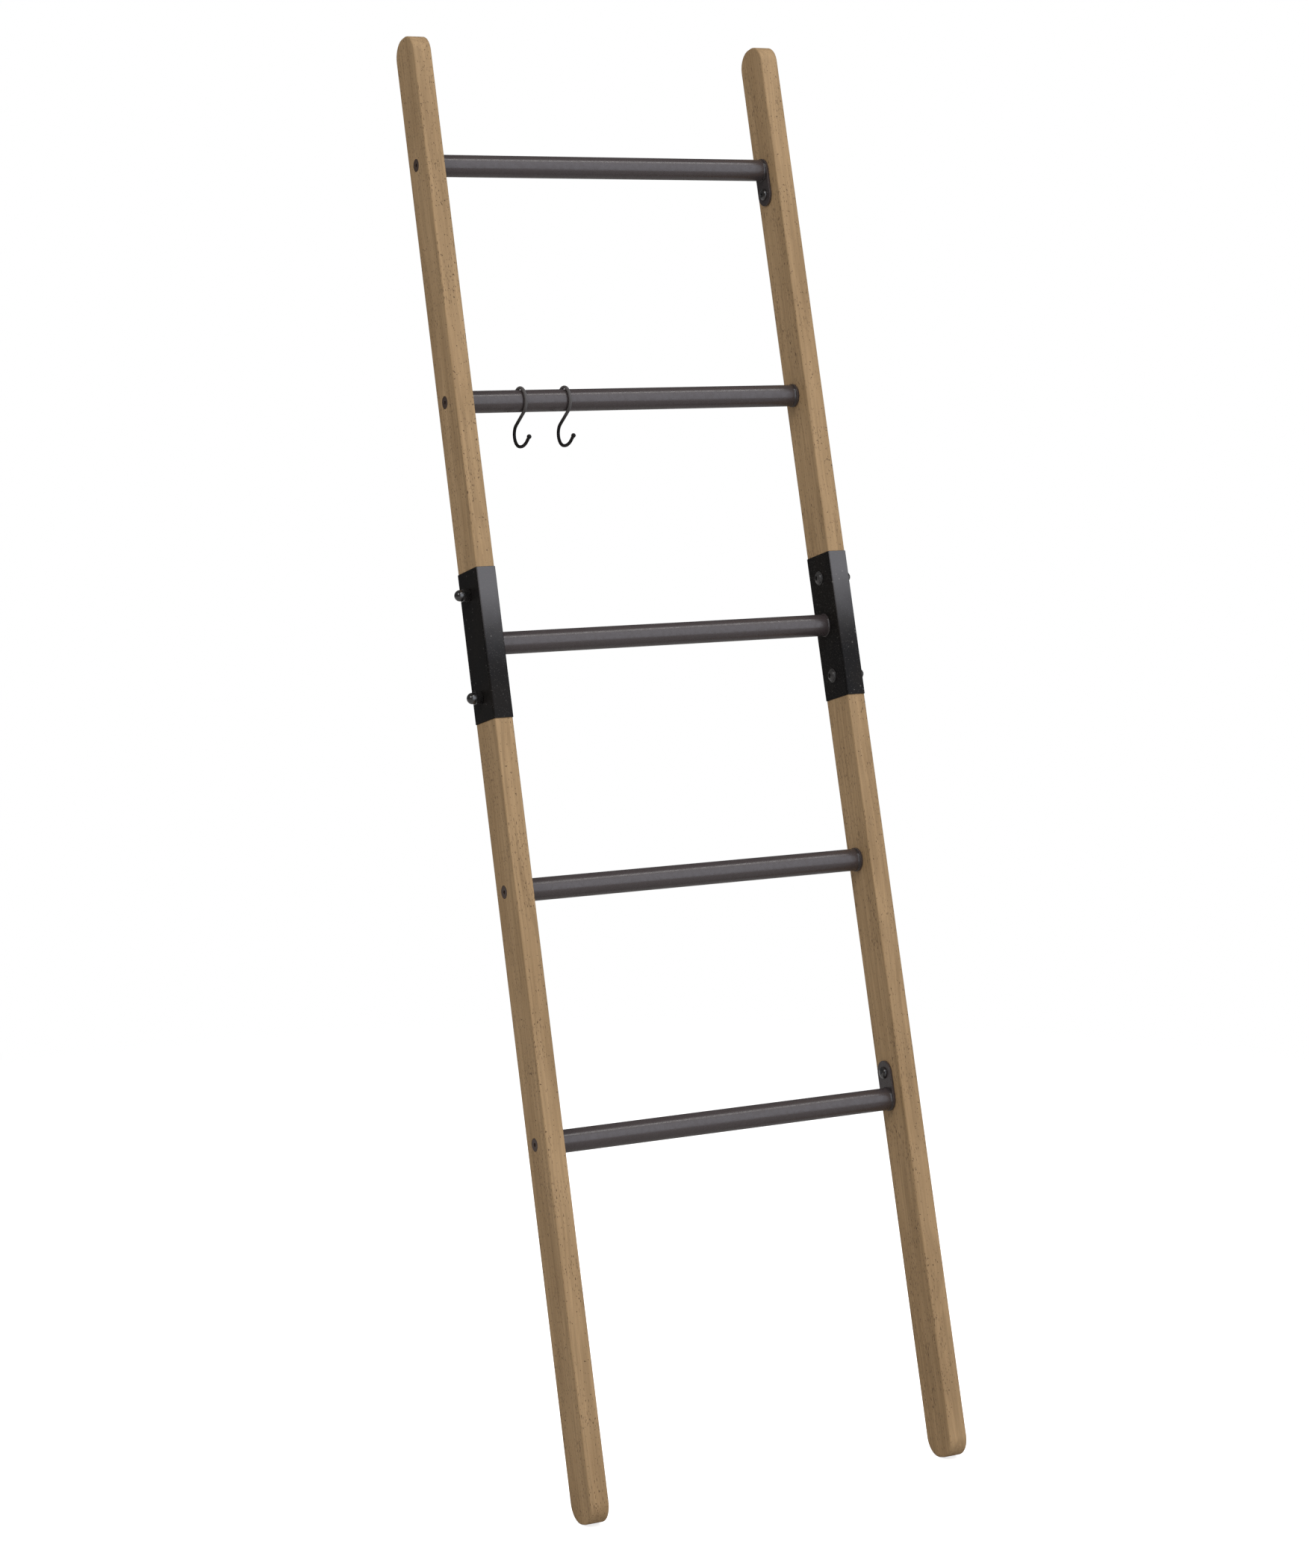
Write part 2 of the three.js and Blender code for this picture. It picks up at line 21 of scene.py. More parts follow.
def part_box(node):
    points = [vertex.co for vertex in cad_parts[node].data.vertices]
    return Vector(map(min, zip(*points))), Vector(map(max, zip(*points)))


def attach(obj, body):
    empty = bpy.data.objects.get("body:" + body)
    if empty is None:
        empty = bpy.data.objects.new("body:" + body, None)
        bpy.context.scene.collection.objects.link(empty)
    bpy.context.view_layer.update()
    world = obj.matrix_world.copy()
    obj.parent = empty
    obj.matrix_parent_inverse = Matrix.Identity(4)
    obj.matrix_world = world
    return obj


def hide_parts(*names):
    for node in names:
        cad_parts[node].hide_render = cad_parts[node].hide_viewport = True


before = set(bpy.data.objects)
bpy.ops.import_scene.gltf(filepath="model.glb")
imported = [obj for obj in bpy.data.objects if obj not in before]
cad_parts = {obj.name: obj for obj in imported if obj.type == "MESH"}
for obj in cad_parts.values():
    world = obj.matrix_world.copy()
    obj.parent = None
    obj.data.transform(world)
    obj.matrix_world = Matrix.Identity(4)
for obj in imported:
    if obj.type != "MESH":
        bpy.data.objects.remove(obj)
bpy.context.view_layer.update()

LOG = logging.getLogger("ladder")
MM = 0.001
LADDER = "ladder"
GAP = 0.3  # between pieces that touch, in millimetres
BORE_SIDES = 32
RUNGS = range(1, 6)  # counted from the top
UPPER_RUNGS = (1, 2)  # bolted to the upper halves of the rails
LOWER_RUNGS = (4, 5)  # bolted to the lower halves
MIDDLE_RUNG = 3  # welded to the sleeves
TAB_RUNGS = (1, 5)
PLATE_RUNGS = (2, 4)
Point = Tuple[float, float]


class Side(Enum):
    """A rail, with the way from the middle of the ladder to it."""

    LEFT = -1
    RIGHT = 1

    @property
    def word(self) -> str:
        """The side's name as the nodes spell it."""
        return self.name.lower()


class Half(Enum):
    """A half of a rail, with the way from the joint to its rounded end."""

    UPPER = 1
    LOWER = -1

    @property
    def word(self) -> str:
        """The half's name as the nodes spell it."""
        return self.name.lower()


class Slot(Enum):
    """The record's material slots."""

    WOOD = "wood"
    RUNG = "rung_steel"
    SLEEVE = "sleeve_steel"
    FASTENER = "fastener_steel"
    BUSH = "bush_steel"
    HOOK = "hook_steel"


class Boolean(Enum):
    """How two solids are combined."""

    CUT = "DIFFERENCE"
    JOIN = "UNION"
    COMMON = "INTERSECT"


# ---- Shaping ------------------------------------------------------------------------------------


def clean(bm: BMesh) -> BMesh:
    """Merges doubled vertices and points all faces outwards."""
    bmesh.ops.remove_doubles(bm, verts=bm.verts, dist=1e-4)
    bmesh.ops.dissolve_degenerate(bm, edges=bm.edges, dist=1e-5)
    bmesh.ops.recalc_face_normals(bm, faces=bm.faces)
    return bm


def turned(profile: Sequence[Point], sides: int, closed: bool = False) -> BMesh:
    """Spins a profile about X.

    Args:
        profile: Points of distance along X and radius, in millimetres.
        sides: Steps of the full turn.
        closed: Whether the last point joins the first, as on a tube.

    Returns:
        The turned solid.
    """
    bm = bmesh.new()
    verts = [bm.verts.new((x, radius, 0)) for x, radius in profile]
    pairs = list(zip(verts, verts[1:]))
    if closed:
        pairs.append((verts[-1], verts[0]))
    edges = [bm.edges.new(pair) for pair in pairs]
    bmesh.ops.spin(
        bm, geom=verts + edges, cent=(0, 0, 0), axis=(1, 0, 0), dvec=(0, 0, 0),
        angle=2 * math.pi, steps=sides, use_merge=True, use_duplicate=False,
    )
    return clean(bm)


def drill(radius: float, reach: float) -> BMesh:
    """A round bar along X that bores a hole, as long each way from the middle as its reach."""
    return turned([(-reach, 0), (-reach, radius), (reach, radius), (reach, 0)], BORE_SIDES)


def block(size: Tuple[float, float, float], middle: Tuple[float, float, float] = (0, 0, 0)) -> BMesh:
    """A box that other shapes start from or are cut with.

    Args:
        size: Width, depth and height in millimetres.
        middle: Where its middle is.

    Returns:
        The box.
    """
    bm = bmesh.new()
    bmesh.ops.create_cube(bm, size=1)
    bmesh.ops.scale(bm, vec=size, verts=bm.verts)
    bmesh.ops.translate(bm, vec=middle, verts=bm.verts)
    return bm


def hexagon(flats: float, start: float, end: float) -> BMesh:
    """A six-sided bar along X.

    Args:
        flats: Distance across its flats.
        start: X of one end.
        end: X of the other end.

    Returns:
        The bar.
    """
    bm = bmesh.new()
    radius = flats / math.sqrt(3)
    bmesh.ops.create_cone(
        bm, cap_ends=True, segments=6, radius1=radius, radius2=radius, depth=end - start,
    )
    turn = Matrix.Translation(((start + end) / 2, 0, 0)) @ Matrix.Rotation(math.pi / 2, 4, "Y")
    bmesh.ops.transform(bm, matrix=turn, verts=bm.verts)
    return bm


def sharp_edges(bm: BMesh, angle: float) -> List[BMEdge]:
    """The edges whose two faces meet at more than an angle, in degrees."""
    limit = math.radians(angle)
    return [e for e in bm.edges if len(e.link_faces) == 2 and e.calc_face_angle(0) > limit]


def round_over(bm: BMesh, edges: Iterable[BMEdge], radius: float, segments: int) -> None:
    """Bevels edges.

    Args:
        bm: The mesh.
        edges: The edges to round.
        radius: Width of the bevel on each side, in millimetres.
        segments: Steps across it.
    """
    bmesh.ops.bevel(
        bm, geom=list(edges), offset=radius, offset_type="OFFSET", segments=segments,
        profile=0.5, affect="EDGES", material=-1, clamp_overlap=True,
    )


def combined(body: BMesh, tools: Sequence[BMesh], how: Boolean = Boolean.CUT) -> BMesh:
    """Cuts tools from a body, or joins them to it.

    Args:
        body: The solid that is kept. It is freed.
        tools: The solids that change it. They are freed.
        how: Whether they are cut away, joined on or limit the body.

    Returns:
        The result.
    """
    objects = []
    for shape in (body, *tools):
        mesh = bpy.data.meshes.new("tool")
        shape.to_mesh(mesh)
        shape.free()
        objects.append(bpy.data.objects.new("tool", mesh))
        bpy.context.scene.collection.objects.link(objects[-1])
    for tool in objects[1:]:
        modifier = objects[0].modifiers.new("tool", "BOOLEAN")
        modifier.operation = how.value
        modifier.solver = "EXACT"
        modifier.object = tool
    result = bmesh.new()
    result.from_object(objects[0], bpy.context.evaluated_depsgraph_get())
    for made in objects:
        mesh = made.data
        bpy.data.objects.remove(made)
        bpy.data.meshes.remove(mesh)
    return clean(result)


def arc(centre: Point, radius: float, start: float, end: float, steps: int) -> List[Point]:
    """Points on an arc, angles in degrees."""
    angles = [math.radians(start + (end - start) * step / steps) for step in range(steps + 1)]
    return [(centre[0] + radius * math.cos(a), centre[1] + radius * math.sin(a)) for a in angles]


def fillet(start: float, radius: float, along: float, out: float, steps: int) -> List[Point]:
    """Profile of a hollow weld from its rim at x = start down to a tube's surface.

    Args:
        start: X of the tube's end.
        radius: The tube's radius.
        along: The weld's leg along the tube.
        out: Its leg up the plate.
        steps: Steps of the curve.

    Returns:
        The points, from the end of the tube inwards.
    """
    angles = [0.5 * math.pi * step / steps for step in range(steps + 1)]
    return [
        (start + along * (1 - math.cos(a)), radius + out * (1 - math.sin(a))) for a in angles
    ]


def dome(base: float, crown: float, radius: float, steps: int) -> List[Point]:
    """Profile of a dome from its rim at x = base to the axis at x = crown."""
    angles = [0.5 * math.pi * step / steps for step in range(steps)]
    rise = crown - base
    rim = [(base + rise * math.sin(a), radius * math.cos(a)) for a in angles]
    return [*rim, (crown, 0.0)]


# ---- The ladder's own axes ----------------------------------------------------------------------


@dataclass(frozen=True)
class LadderAxes:
    """The leaning axes that the ladder's pieces are drawn in.

    Attributes:
        to_world: From millimetres in the ladder's axes to metres in the world.
        lean: The rails' angle from upright, in radians.
    """

    to_world: Matrix
    lean: float

    @classmethod
    def from_frame(cls) -> "LadderAxes":
        """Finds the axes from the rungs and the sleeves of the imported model.

        Returns:
            The axes.
        """
        top, bottom = (cls._middle(name) for name in ("rung_1", "rung_5"))
        lean = math.atan2(top.y - bottom.y, top.z - bottom.z)
        turn = Matrix.Rotation(-lean, 4, "X")
        upright = cls(turn @ Matrix.Scale(MM, 4), lean)
        boxes = [upright.box(f"{side.word}_sleeve") for side in Side]
        middle = sum((low + high for low, high in boxes), Vector()) / 4
        return cls(upright.to_world @ Matrix.Translation(middle), lean)

    @staticmethod
    def _middle(node: str) -> Vector:
        """The middle of a node's box in the world."""
        low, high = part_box(node)
        return (low + high) / 2

    def box(self, node: str) -> Tuple[Vector, Vector]:
        """A node's lowest and highest corner in the ladder's axes.

        Args:
            node: The node's name.

        Returns:
            Both corners, in millimetres.
        """
        back = self.to_world.inverted()
        points = [back @ v.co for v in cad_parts[node].data.vertices]
        low = Vector([min(p[i] for p in points) for i in range(3)])
        high = Vector([max(p[i] for p in points) for i in range(3)])
        return low, high

    def middle(self, node: str) -> Vector:
        """The middle of a node's box in the ladder's axes."""
        low, high = self.box(node)
        return (low + high) / 2

    def outward(self, side: Side, x: float, y: float, z: float) -> Matrix:
        """Puts a fitting that is drawn with its X to the ladder's outside in its place.

        Args:
            side: The rail that it is on.
            x: Distance from the ladder's middle, in millimetres.
            y: Depth.
            z: Height up the rail.

        Returns:
            The matrix into the world.
        """
        turn = Matrix.Identity(4) if side is Side.RIGHT else Matrix.Rotation(math.pi, 4, "Z")
        return self.to_world @ Matrix.Translation((side.value * x, y, z)) @ turn


def finished(
    bm: BMesh, name: str, place: Matrix, material: bpy.types.Material,
    body: str = LADDER, smooth: float = 38,
) -> bpy.types.Object:
    """Makes the object of a finished piece, which stands for the CAD node of its name.

    Args:
        bm: The piece's mesh. It is freed.
        name: The CAD node's name.
        place: From the mesh's own axes to the world.
        material: The piece's finish.
        body: The CAD body that it rides on.
        smooth: Edges up to this angle are shaded smooth, in degrees.

    Returns:
        The object.
    """
    mesh = bpy.data.meshes.new(name)
    for face in bm.faces:
        face.smooth = True
    bm.to_mesh(mesh)
    bm.free()
    mesh.transform(place)
    mesh.materials.append(material)
    mesh.set_sharp_from_angle(angle=math.radians(smooth))
    piece = bpy.data.objects.new(f"{name}_piece", mesh)
    bpy.context.scene.collection.objects.link(piece)
    weighted = piece.modifiers.new("flat_faces", "WEIGHTED_NORMAL")
    weighted.keep_sharp = True
    weighted.weight = 100
    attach(piece, body)
    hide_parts(name)
    LOG.info("%s: %d faces, %s", piece.name, len(mesh.polygons), material.name)
    return piece


# ---- Shader trees -------------------------------------------------------------------------------


class Tree:
    """Adds nodes to one shader tree, with values or links for their inputs."""

    def __init__(self, tree: bpy.types.NodeTree) -> None:
        """Takes an empty tree."""
        self.tree = tree

    def node(self, kind: str, inputs: Optional[Dict[Any, Any]] = None, **settings: Any) -> Any:
        """Adds a node.

        Args:
            kind: The node's type without its Shader prefix.
            inputs: A value or an output to link for each named or numbered input.
            settings: The node's own settings.

        Returns:
            The node.
        """
        node = self.tree.nodes.new(f"ShaderNode{kind}")
        node.location.x = 190 * len(self.tree.nodes)
        for key, value in settings.items():
            setattr(node, key, value)
        for key, value in (inputs or {}).items():
            if isinstance(value, bpy.types.NodeSocket):
                self.tree.links.new(value, node.inputs[key])
            else:
                node.inputs[key].default_value = value
        return node

    def math(self, operation: str, a: Any, b: Any = 0.0) -> Any:
        """The result of a Math node."""
        return self.node("Math", {0: a, 1: b}, operation=operation).outputs[0]

    def stretched(self, vector: Any, scale: Tuple[float, float, float]) -> Any:
        """A vector multiplied by a scale for each axis."""
        return self.node("VectorMath", {0: vector, 1: scale}, operation="MULTIPLY").outputs[0]

    def noise(self, vector: Any, scale: Any = 1.0, detail: float = 2.0, roughness: float = 0.5) -> Any:
        """The value of a Noise Texture."""
        inputs = {"Vector": vector, "Scale": scale, "Detail": detail, "Roughness": roughness}
        return self.node("TexNoise", inputs).outputs[0]

    def between(self, value: Any, low: float, high: float, to_low: Any = 0.0, to_high: Any = 1.0) -> Any:
        """A value mapped smoothly from one range to another, and held at its ends."""
        inputs = {
            "Value": value, "From Min": low, "From Max": high, "To Min": to_low, "To Max": to_high,
        }
        return self.node("MapRange", inputs, interpolation_type="SMOOTHSTEP").outputs[0]

    def blend(self, factor: Any, a: Any, b: Any) -> Any:
        """A mix of two colours."""
        inputs = {"Factor": factor, 6: a, 7: b}
        return self.node("Mix", inputs, data_type="RGBA").outputs[2]


class Effect:
    """A shader node group with named inputs and outputs, which is built once."""

    def __init__(
        self, name: str, values: Dict[str, float], outputs: Sequence[str],
        build: Callable[[Tree, Dict[str, Any]], Dict[str, Any]],
    ) -> None:
        """Builds the group.

        Args:
            name: The group's name.
            values: The number inputs and their usual values. Vector comes before them.
            outputs: The names of its number outputs.
            build: Adds the nodes, from the input sockets to the output sockets by name.
        """
        self.group = bpy.data.node_groups.new(name, "ShaderNodeTree")
        sockets = self.group.interface
        sockets.new_socket("Vector", in_out="INPUT", socket_type="NodeSocketVector")
        for key, value in values.items():
            made = sockets.new_socket(key, in_out="INPUT", socket_type="NodeSocketFloat")
            made.default_value = value
        for key in outputs:
            sockets.new_socket(key, in_out="OUTPUT", socket_type="NodeSocketFloat")
        start = self.group.nodes.new("NodeGroupInput")
        end = self.group.nodes.new("NodeGroupOutput")
        end.location.x = 6000
        made = build(Tree(self.group), {socket.name: socket for socket in start.outputs})
        for key, socket in made.items():
            self.group.links.new(socket, end.inputs[key])

    def put(self, tree: Tree, vector: Any, **values: float) -> Any:
        """Places the group in a material.

        Args:
            tree: The material's tree.
            vector: The coordinates that it follows.
            values: Numbers for its inputs; a space in a name is written as an underscore.

        Returns:
            The group node's outputs.
        """
        node = tree.node("Group", node_tree=self.group)
        tree.tree.links.new(vector, node.inputs["Vector"])
        for key, value in values.items():
            node.inputs[key.replace("_", " ")].default_value = value
        return node.outputs


def long_grain(tree: Tree, given: Dict[str, Any]) -> Dict[str, Any]:
    """Straight wood grain along Z: broad tone, streaks, growth lines and fine fibre."""
    vector = given["Vector"]
    waver = tree.noise(tree.stretched(vector, (9, 9, 5)), detail=1)
    bent = tree.node("VectorMath", {0: vector, 1: waver}, operation="ADD").outputs[0]
    sway = tree.node("Mix", {"Factor": given["Sway"], 4: vector, 5: bent}, data_type="VECTOR")
    grain = sway.outputs[1]
    tone = tree.noise(tree.stretched(grain, (38, 38, 5.5)), detail=3, roughness=0.55)
    streak = tree.noise(tree.stretched(grain, (330, 330, 7)), detail=3, roughness=0.6)
    fibre = tree.noise(tree.stretched(grain, (1500, 1500, 45)), detail=2, roughness=0.7)
    rings = tree.noise(tree.stretched(grain, (34, 60, 1.1)), detail=1)
    lines = tree.math("SINE", tree.math("MULTIPLY", rings, given["Growth Lines"]))
    figure = tree.between(lines, -0.2, 1.0)
    return {"Tone": tone, "Streak": streak, "Fibre": fibre, "Figure": figure}


def open_pores(tree: Tree, given: Dict[str, Any]) -> Dict[str, Any]:
    """Short dark pores along Z, in loose patches."""
    vector = given["Vector"]
    dashes = tree.noise(tree.stretched(vector, (1050, 1050, 250)), detail=0)
    patches = tree.noise(tree.stretched(vector, (38, 38, 17)), detail=2)
    bar = tree.between(patches, 0.34, 0.66, 0.78, 0.66)
    above = tree.math("SUBTRACT", dashes, bar)
    dark = tree.between(above, 0.0, 0.05)
    pinholes = tree.noise(vector, 430, detail=0)
    holes = tree.between(pinholes, 0.79, 0.83)
    return {"Pores": tree.math("MAXIMUM", dark, holes)}


def edge_rub(tree: Tree, given: Dict[str, Any]) -> Dict[str, Any]:
    """Uneven rubbing on the faces that are marked as edges."""
    marked = tree.node("Attribute", attribute_name="rub").outputs["Fac"]
    patchy = tree.noise(given["Vector"], given["Scale"], detail=3)
    return {"Rub": tree.math("MULTIPLY", marked, tree.between(patchy, 0.4, 0.65))}


def hammered(tree: Tree, given: Dict[str, Any]) -> Dict[str, Any]:
    """Shallow uneven dimples of a hammered paint."""
    dimples = tree.noise(given["Vector"], given["Scale"], detail=1.5, roughness=0.5)
    finer = tree.math("MULTIPLY", given["Scale"], 3.1)
    peel = tree.noise(given["Vector"], finer, detail=1)
    height = tree.math("ADD", dimples, tree.math("MULTIPLY", peel, 0.22))
    return {"Height": height, "Mottle": tree.between(dimples, 0.3, 0.7)}


def sparkle(tree: Tree, given: Dict[str, Any]) -> Dict[str, Any]:
    """Tiny bright flakes and a few larger specks in a powder coat."""
    cells = tree.node("TexVoronoi", {"Vector": given["Vector"], "Scale": given["Scale"]})
    chance = tree.node("SeparateColor", {0: cells.outputs["Color"]}).outputs[0]
    chosen = tree.math("GREATER_THAN", chance, given["Rarity"])
    near = tree.between(cells.outputs["Distance"], 0.2, 0.45, 1.0, 0.0)
    return {"Flakes": tree.math("MULTIPLY", chosen, near)}


def handling(tree: Tree, given: Dict[str, Any]) -> Dict[str, Any]:
    """Broad uneven film left by handling, with a little dust."""
    film = tree.noise(given["Vector"], given["Scale"], detail=4, roughness=0.6)
    return {"Film": tree.between(film, 0.35, 0.7)}


class Effects:
    """The node groups that the finishes share."""

    def __init__(self) -> None:
        """Builds them."""
        values = {"Sway": 0.02, "Growth Lines": 60.0}
        outputs = ("Tone", "Streak", "Fibre", "Figure")
        self.grain = Effect("long_grain", values, outputs, long_grain)
        self.pores = Effect("open_pores", {}, ("Pores",), open_pores)
        self.rub = Effect("edge_rub", {"Scale": 90.0}, ("Rub",), edge_rub)
        self.hammered = Effect("hammered", {"Scale": 240.0}, ("Height", "Mottle"), hammered)
        self.sparkle = Effect("sparkle", {"Scale": 900.0, "Rarity": 0.9}, ("Flakes",), sparkle)
        self.handling = Effect("handling", {"Scale": 14.0}, ("Film",), handling)


Colour = Tuple[float, float, float]


def opaque(colour: Colour) -> Tuple[float, float, float, float]:
    """A colour with full alpha."""
    return (*colour, 1.0)


def blank_material(name: str) -> Tuple[bpy.types.Material, Tree, Any]:
    """A material that holds only a Principled shader and its output.

    Args:
        name: The material's name.

    Returns:
        The material, its tree and its shader.
    """
    material = bpy.data.materials.new(name)
    material.use_nodes = True
    material.node_tree.nodes.clear()
    tree = Tree(material.node_tree)
    shader = tree.node("BsdfPrincipled")
    tree.node("OutputMaterial", {"Surface": shader.outputs[0]})
    return material, tree, shader


def piece_coordinates(tree: Tree, turn: float, offset: Colour = (0, 0, 0)) -> Any:
    """Object coordinates turned into the ladder's axes.

    Args:
        tree: The material's tree.
        turn: The ladder's lean, in radians.
        offset: Moves the pattern, in metres.

    Returns:
        The vector.
    """
    start = tree.node("TexCoord").outputs["Object"]
    inputs = {"Vector": start, "Rotation": (turn, 0, 0), "Location": offset}
    return tree.node("Mapping", inputs).outputs[0]


def link(tree: Tree, source: Any, shader: Any, name: str) -> None:
    """Joins an output to a named input of a shader."""
    tree.tree.links.new(source, shader.inputs[name])


# ---- Finishes -----------------------------------------------------------------------------------


@dataclass(frozen=True)
class StainedWood:
    """Tan stain over straight-grained wood, matt.

    Attributes:
        pale: Colour of the light patches.
        deep: Colour of the dark patches.
        pore: Colour in the pores.
        rubbed_and_sheen: Colour of the rubbed edges.
        roughness: Roughness of the stained face.
    """

    pale: Colour = (0.424, 0.282, 0.150)
    deep: Colour = (0.352, 0.229, 0.117)
    pore: Colour = (0.085, 0.050, 0.027)
    rubbed_and_sheen: Colour = (0.37, 0.245, 0.132)
    roughness: float = 0.62

    def material(self, name: str, effects: Effects, lean: float, offset: Colour) -> bpy.types.Material:
        """Makes the finish for one rail half.

        Args:
            name: The material's name.
            effects: The shared node groups.
            lean: The ladder's lean, in radians.
            offset: Where in the pattern this half is cut from, in metres.

        Returns:
            The material.
        """
        material, tree, shader = blank_material(name)
        vector = piece_coordinates(tree, lean, offset)
        grain = effects.grain.put(tree, vector)
        pores = effects.pores.put(tree, vector)["Pores"]
        rub = effects.rub.put(tree, vector)["Rub"]
        tone = tree.between(grain["Tone"], 0.3, 0.7)
        base = tree.blend(tone, opaque(self.deep), opaque(self.pale))
        streaks = tree.between(grain["Streak"], 0.3, 0.7, 0.90, 1.07)
        fibre = tree.between(grain["Fibre"], 0.25, 0.75, 0.94, 1.05)
        figure = tree.between(grain["Figure"], 0, 1, 1.03, 0.94)
        shade = tree.math("MULTIPLY", tree.math("MULTIPLY", streaks, fibre), figure)
        shaded = tree.node("VectorMath", {0: base, "Scale": shade}, operation="SCALE").outputs[0]
        wear_and_sheen = tree.blend(tree.math("MULTIPLY", rub, 0.5), shaded, opaque(self.rubbed_and_sheen))
        pored = tree.blend(tree.math("MULTIPLY", pores, 0.8), wear_and_sheen, opaque(self.pore))
        link(tree, pored, shader, "Base Color")
        rough = tree.between(grain["Streak"], 0.3, 0.7, self.roughness + 0.08, self.roughness - 0.06)
        link(tree, rough, shader, "Roughness")
        height = tree.math("SUBTRACT", tree.math("MULTIPLY", grain["Fibre"], 0.5), pores)
        relief = {"Height": height, "Strength": 0.35, "Distance": 0.0002}
        link(tree, tree.node("Bump", relief).outputs[0], shader, "Normal")
        shader.inputs["Specular IOR Level"].default_value = 0.2
        return material


@dataclass(frozen=True)
class HammeredPaint:
    """Dark bronze-grey hammered powder coat, satin.

    Attributes:
        low: Colour in the dimples.
        high: Colour between them.
        rubbed_and_sheen: Colour of flakes and rubbed edges.
        weld_and_shade: Colour of the painted shade over the welds and on the tabs' broad sides.
        roughness: Roughness of the paint.
    """

    low: Colour = (0.056, 0.044, 0.044)
    high: Colour = (0.064, 0.052, 0.053)
    rubbed_and_sheen: Colour = (0.15, 0.13, 0.125)
    weld_and_shade: Colour = (0.020, 0.015, 0.015)
    roughness: float = 0.27

    def material(self, name: str, effects: Effects) -> bpy.types.Material:
        """Makes the finish.

        Args:
            name: The material's name.
            effects: The shared node groups.

        Returns:
            The material.
        """
        material, tree, shader = blank_material(name)
        vector = tree.node("TexCoord").outputs["Object"]
        dents = effects.hammered.put(tree, vector, Scale=210)
        film = effects.handling.put(tree, vector, Scale=16)["Film"]
        flakes = effects.sparkle.put(tree, vector, Scale=620, Rarity=0.965)["Flakes"]
        base = tree.blend(dents["Mottle"], opaque(self.low), opaque(self.high))
        lit = tree.blend(tree.math("MULTIPLY", flakes, 0.2), base, opaque(self.rubbed_and_sheen))
        rub = effects.rub.put(tree, vector, Scale=300)["Rub"]
        wear_and_sheen = tree.blend(tree.math("MULTIPLY", rub, 0.35), lit, opaque(self.rubbed_and_sheen))
        # Painted shade: welds darkened towards each joint, and the tabs' broad sides darkened.
        weld_and_shade = tree.node("Attribute", attribute_name="weld_and_shade").outputs["Fac"]
        link(tree, tree.blend(weld_and_shade, wear_and_sheen, opaque(self.weld_and_shade)), shader, "Base Color")
        rough = tree.math("ADD", tree.between(dents["Mottle"], 0, 1, 0.05, -0.04), self.roughness)
        rough = tree.math("ADD", rough, tree.math("MULTIPLY", film, 0.05))
        link(tree, rough, shader, "Roughness")
        relief = {"Height": dents["Height"], "Strength": 0.24, "Distance": 0.00024}
        link(tree, tree.node("Bump", relief).outputs[0], shader, "Normal")
        shader.inputs["Specular IOR Level"].default_value = 0.62
        return material


@dataclass(frozen=True)
class SparkleCoat:
    """Near-black powder coat with fine sparkle, smoother than the rungs' paint.

    Attributes:
        base: Colour of the coat.
        warm: Colour where it has been handled.
        painted_sheen: Colour of the painted sheen up its front, a painted reflection that greys the front
            faces towards the top.
        flake: Colour of its flakes.
        roughness: Roughness of the coat.
    """

    base: Colour = (0.0085, 0.0080, 0.0082)
    warm: Colour = (0.013, 0.0112, 0.0100)
    painted_sheen: Colour = (0.085, 0.080, 0.082)
    flake: Colour = (0.24, 0.225, 0.21)
    roughness: float = 0.36

    def material(self, name: str, effects: Effects, axes: LadderAxes) -> bpy.types.Material:
        """Makes the finish.

        Args:
            name: The material's name.
            effects: The shared node groups.
            axes: The ladder's axes, whose height 0 is the middle of the sleeves.

        Returns:
            The material.
        """
        material, tree, shader = blank_material(name)
        vector = tree.node("TexCoord").outputs["Object"]
        back = axes.to_world.to_translation()
        back.rotate(Matrix.Rotation(axes.lean, 3, "X"))
        leaning = piece_coordinates(tree, axes.lean, tuple(-back))
        height = tree.node("SeparateXYZ", {0: leaning}).outputs["Z"]
        front = tree.node("Attribute", attribute_name="front").outputs["Fac"]
        uneven = tree.math("MULTIPLY", tree.noise(vector, 30, detail=3), 0.03)
        # Painted sheen: the front faces are greyed towards the top of the sleeve, a painted reflection of the
        # light above.
        painted_sheen = tree.between(tree.math("ADD", height, uneven), -0.045, 0.085)
        painted_sheen = tree.math("MULTIPLY", tree.math("MULTIPLY", painted_sheen, painted_sheen), front)
        fine = effects.sparkle.put(tree, vector, Scale=1250, Rarity=0.9)["Flakes"]
        specks = effects.sparkle.put(tree, vector, Scale=330, Rarity=0.975)["Flakes"]
        film = effects.handling.put(tree, vector, Scale=20)["Film"]
        peel = effects.hammered.put(tree, vector, Scale=900)
        dark = tree.blend(film, opaque(self.base), opaque(self.warm))
        base = tree.blend(painted_sheen, dark, opaque(self.painted_sheen))
        fine_lit = tree.blend(tree.math("MULTIPLY", fine, 0.35), base, opaque(self.flake))
        lit = tree.blend(tree.math("MULTIPLY", specks, 0.35), fine_lit, opaque(self.flake))
        link(tree, lit, shader, "Base Color")
        rough = tree.math("ADD", tree.math("MULTIPLY", film, 0.06), self.roughness)
        link(tree, rough, shader, "Roughness")
        relief = {"Height": peel["Height"], "Strength": 0.3, "Distance": 0.00012}
        link(tree, tree.node("Bump", relief).outputs[0], shader, "Normal")
        link(tree, tree.math("ADD", tree.math("MULTIPLY", painted_sheen, 0.9), 0.05), shader, "Coat Weight")
        shader.inputs["Coat Roughness"].default_value = 0.2
        shader.inputs["Specular IOR Level"].default_value = 0.06
        return material


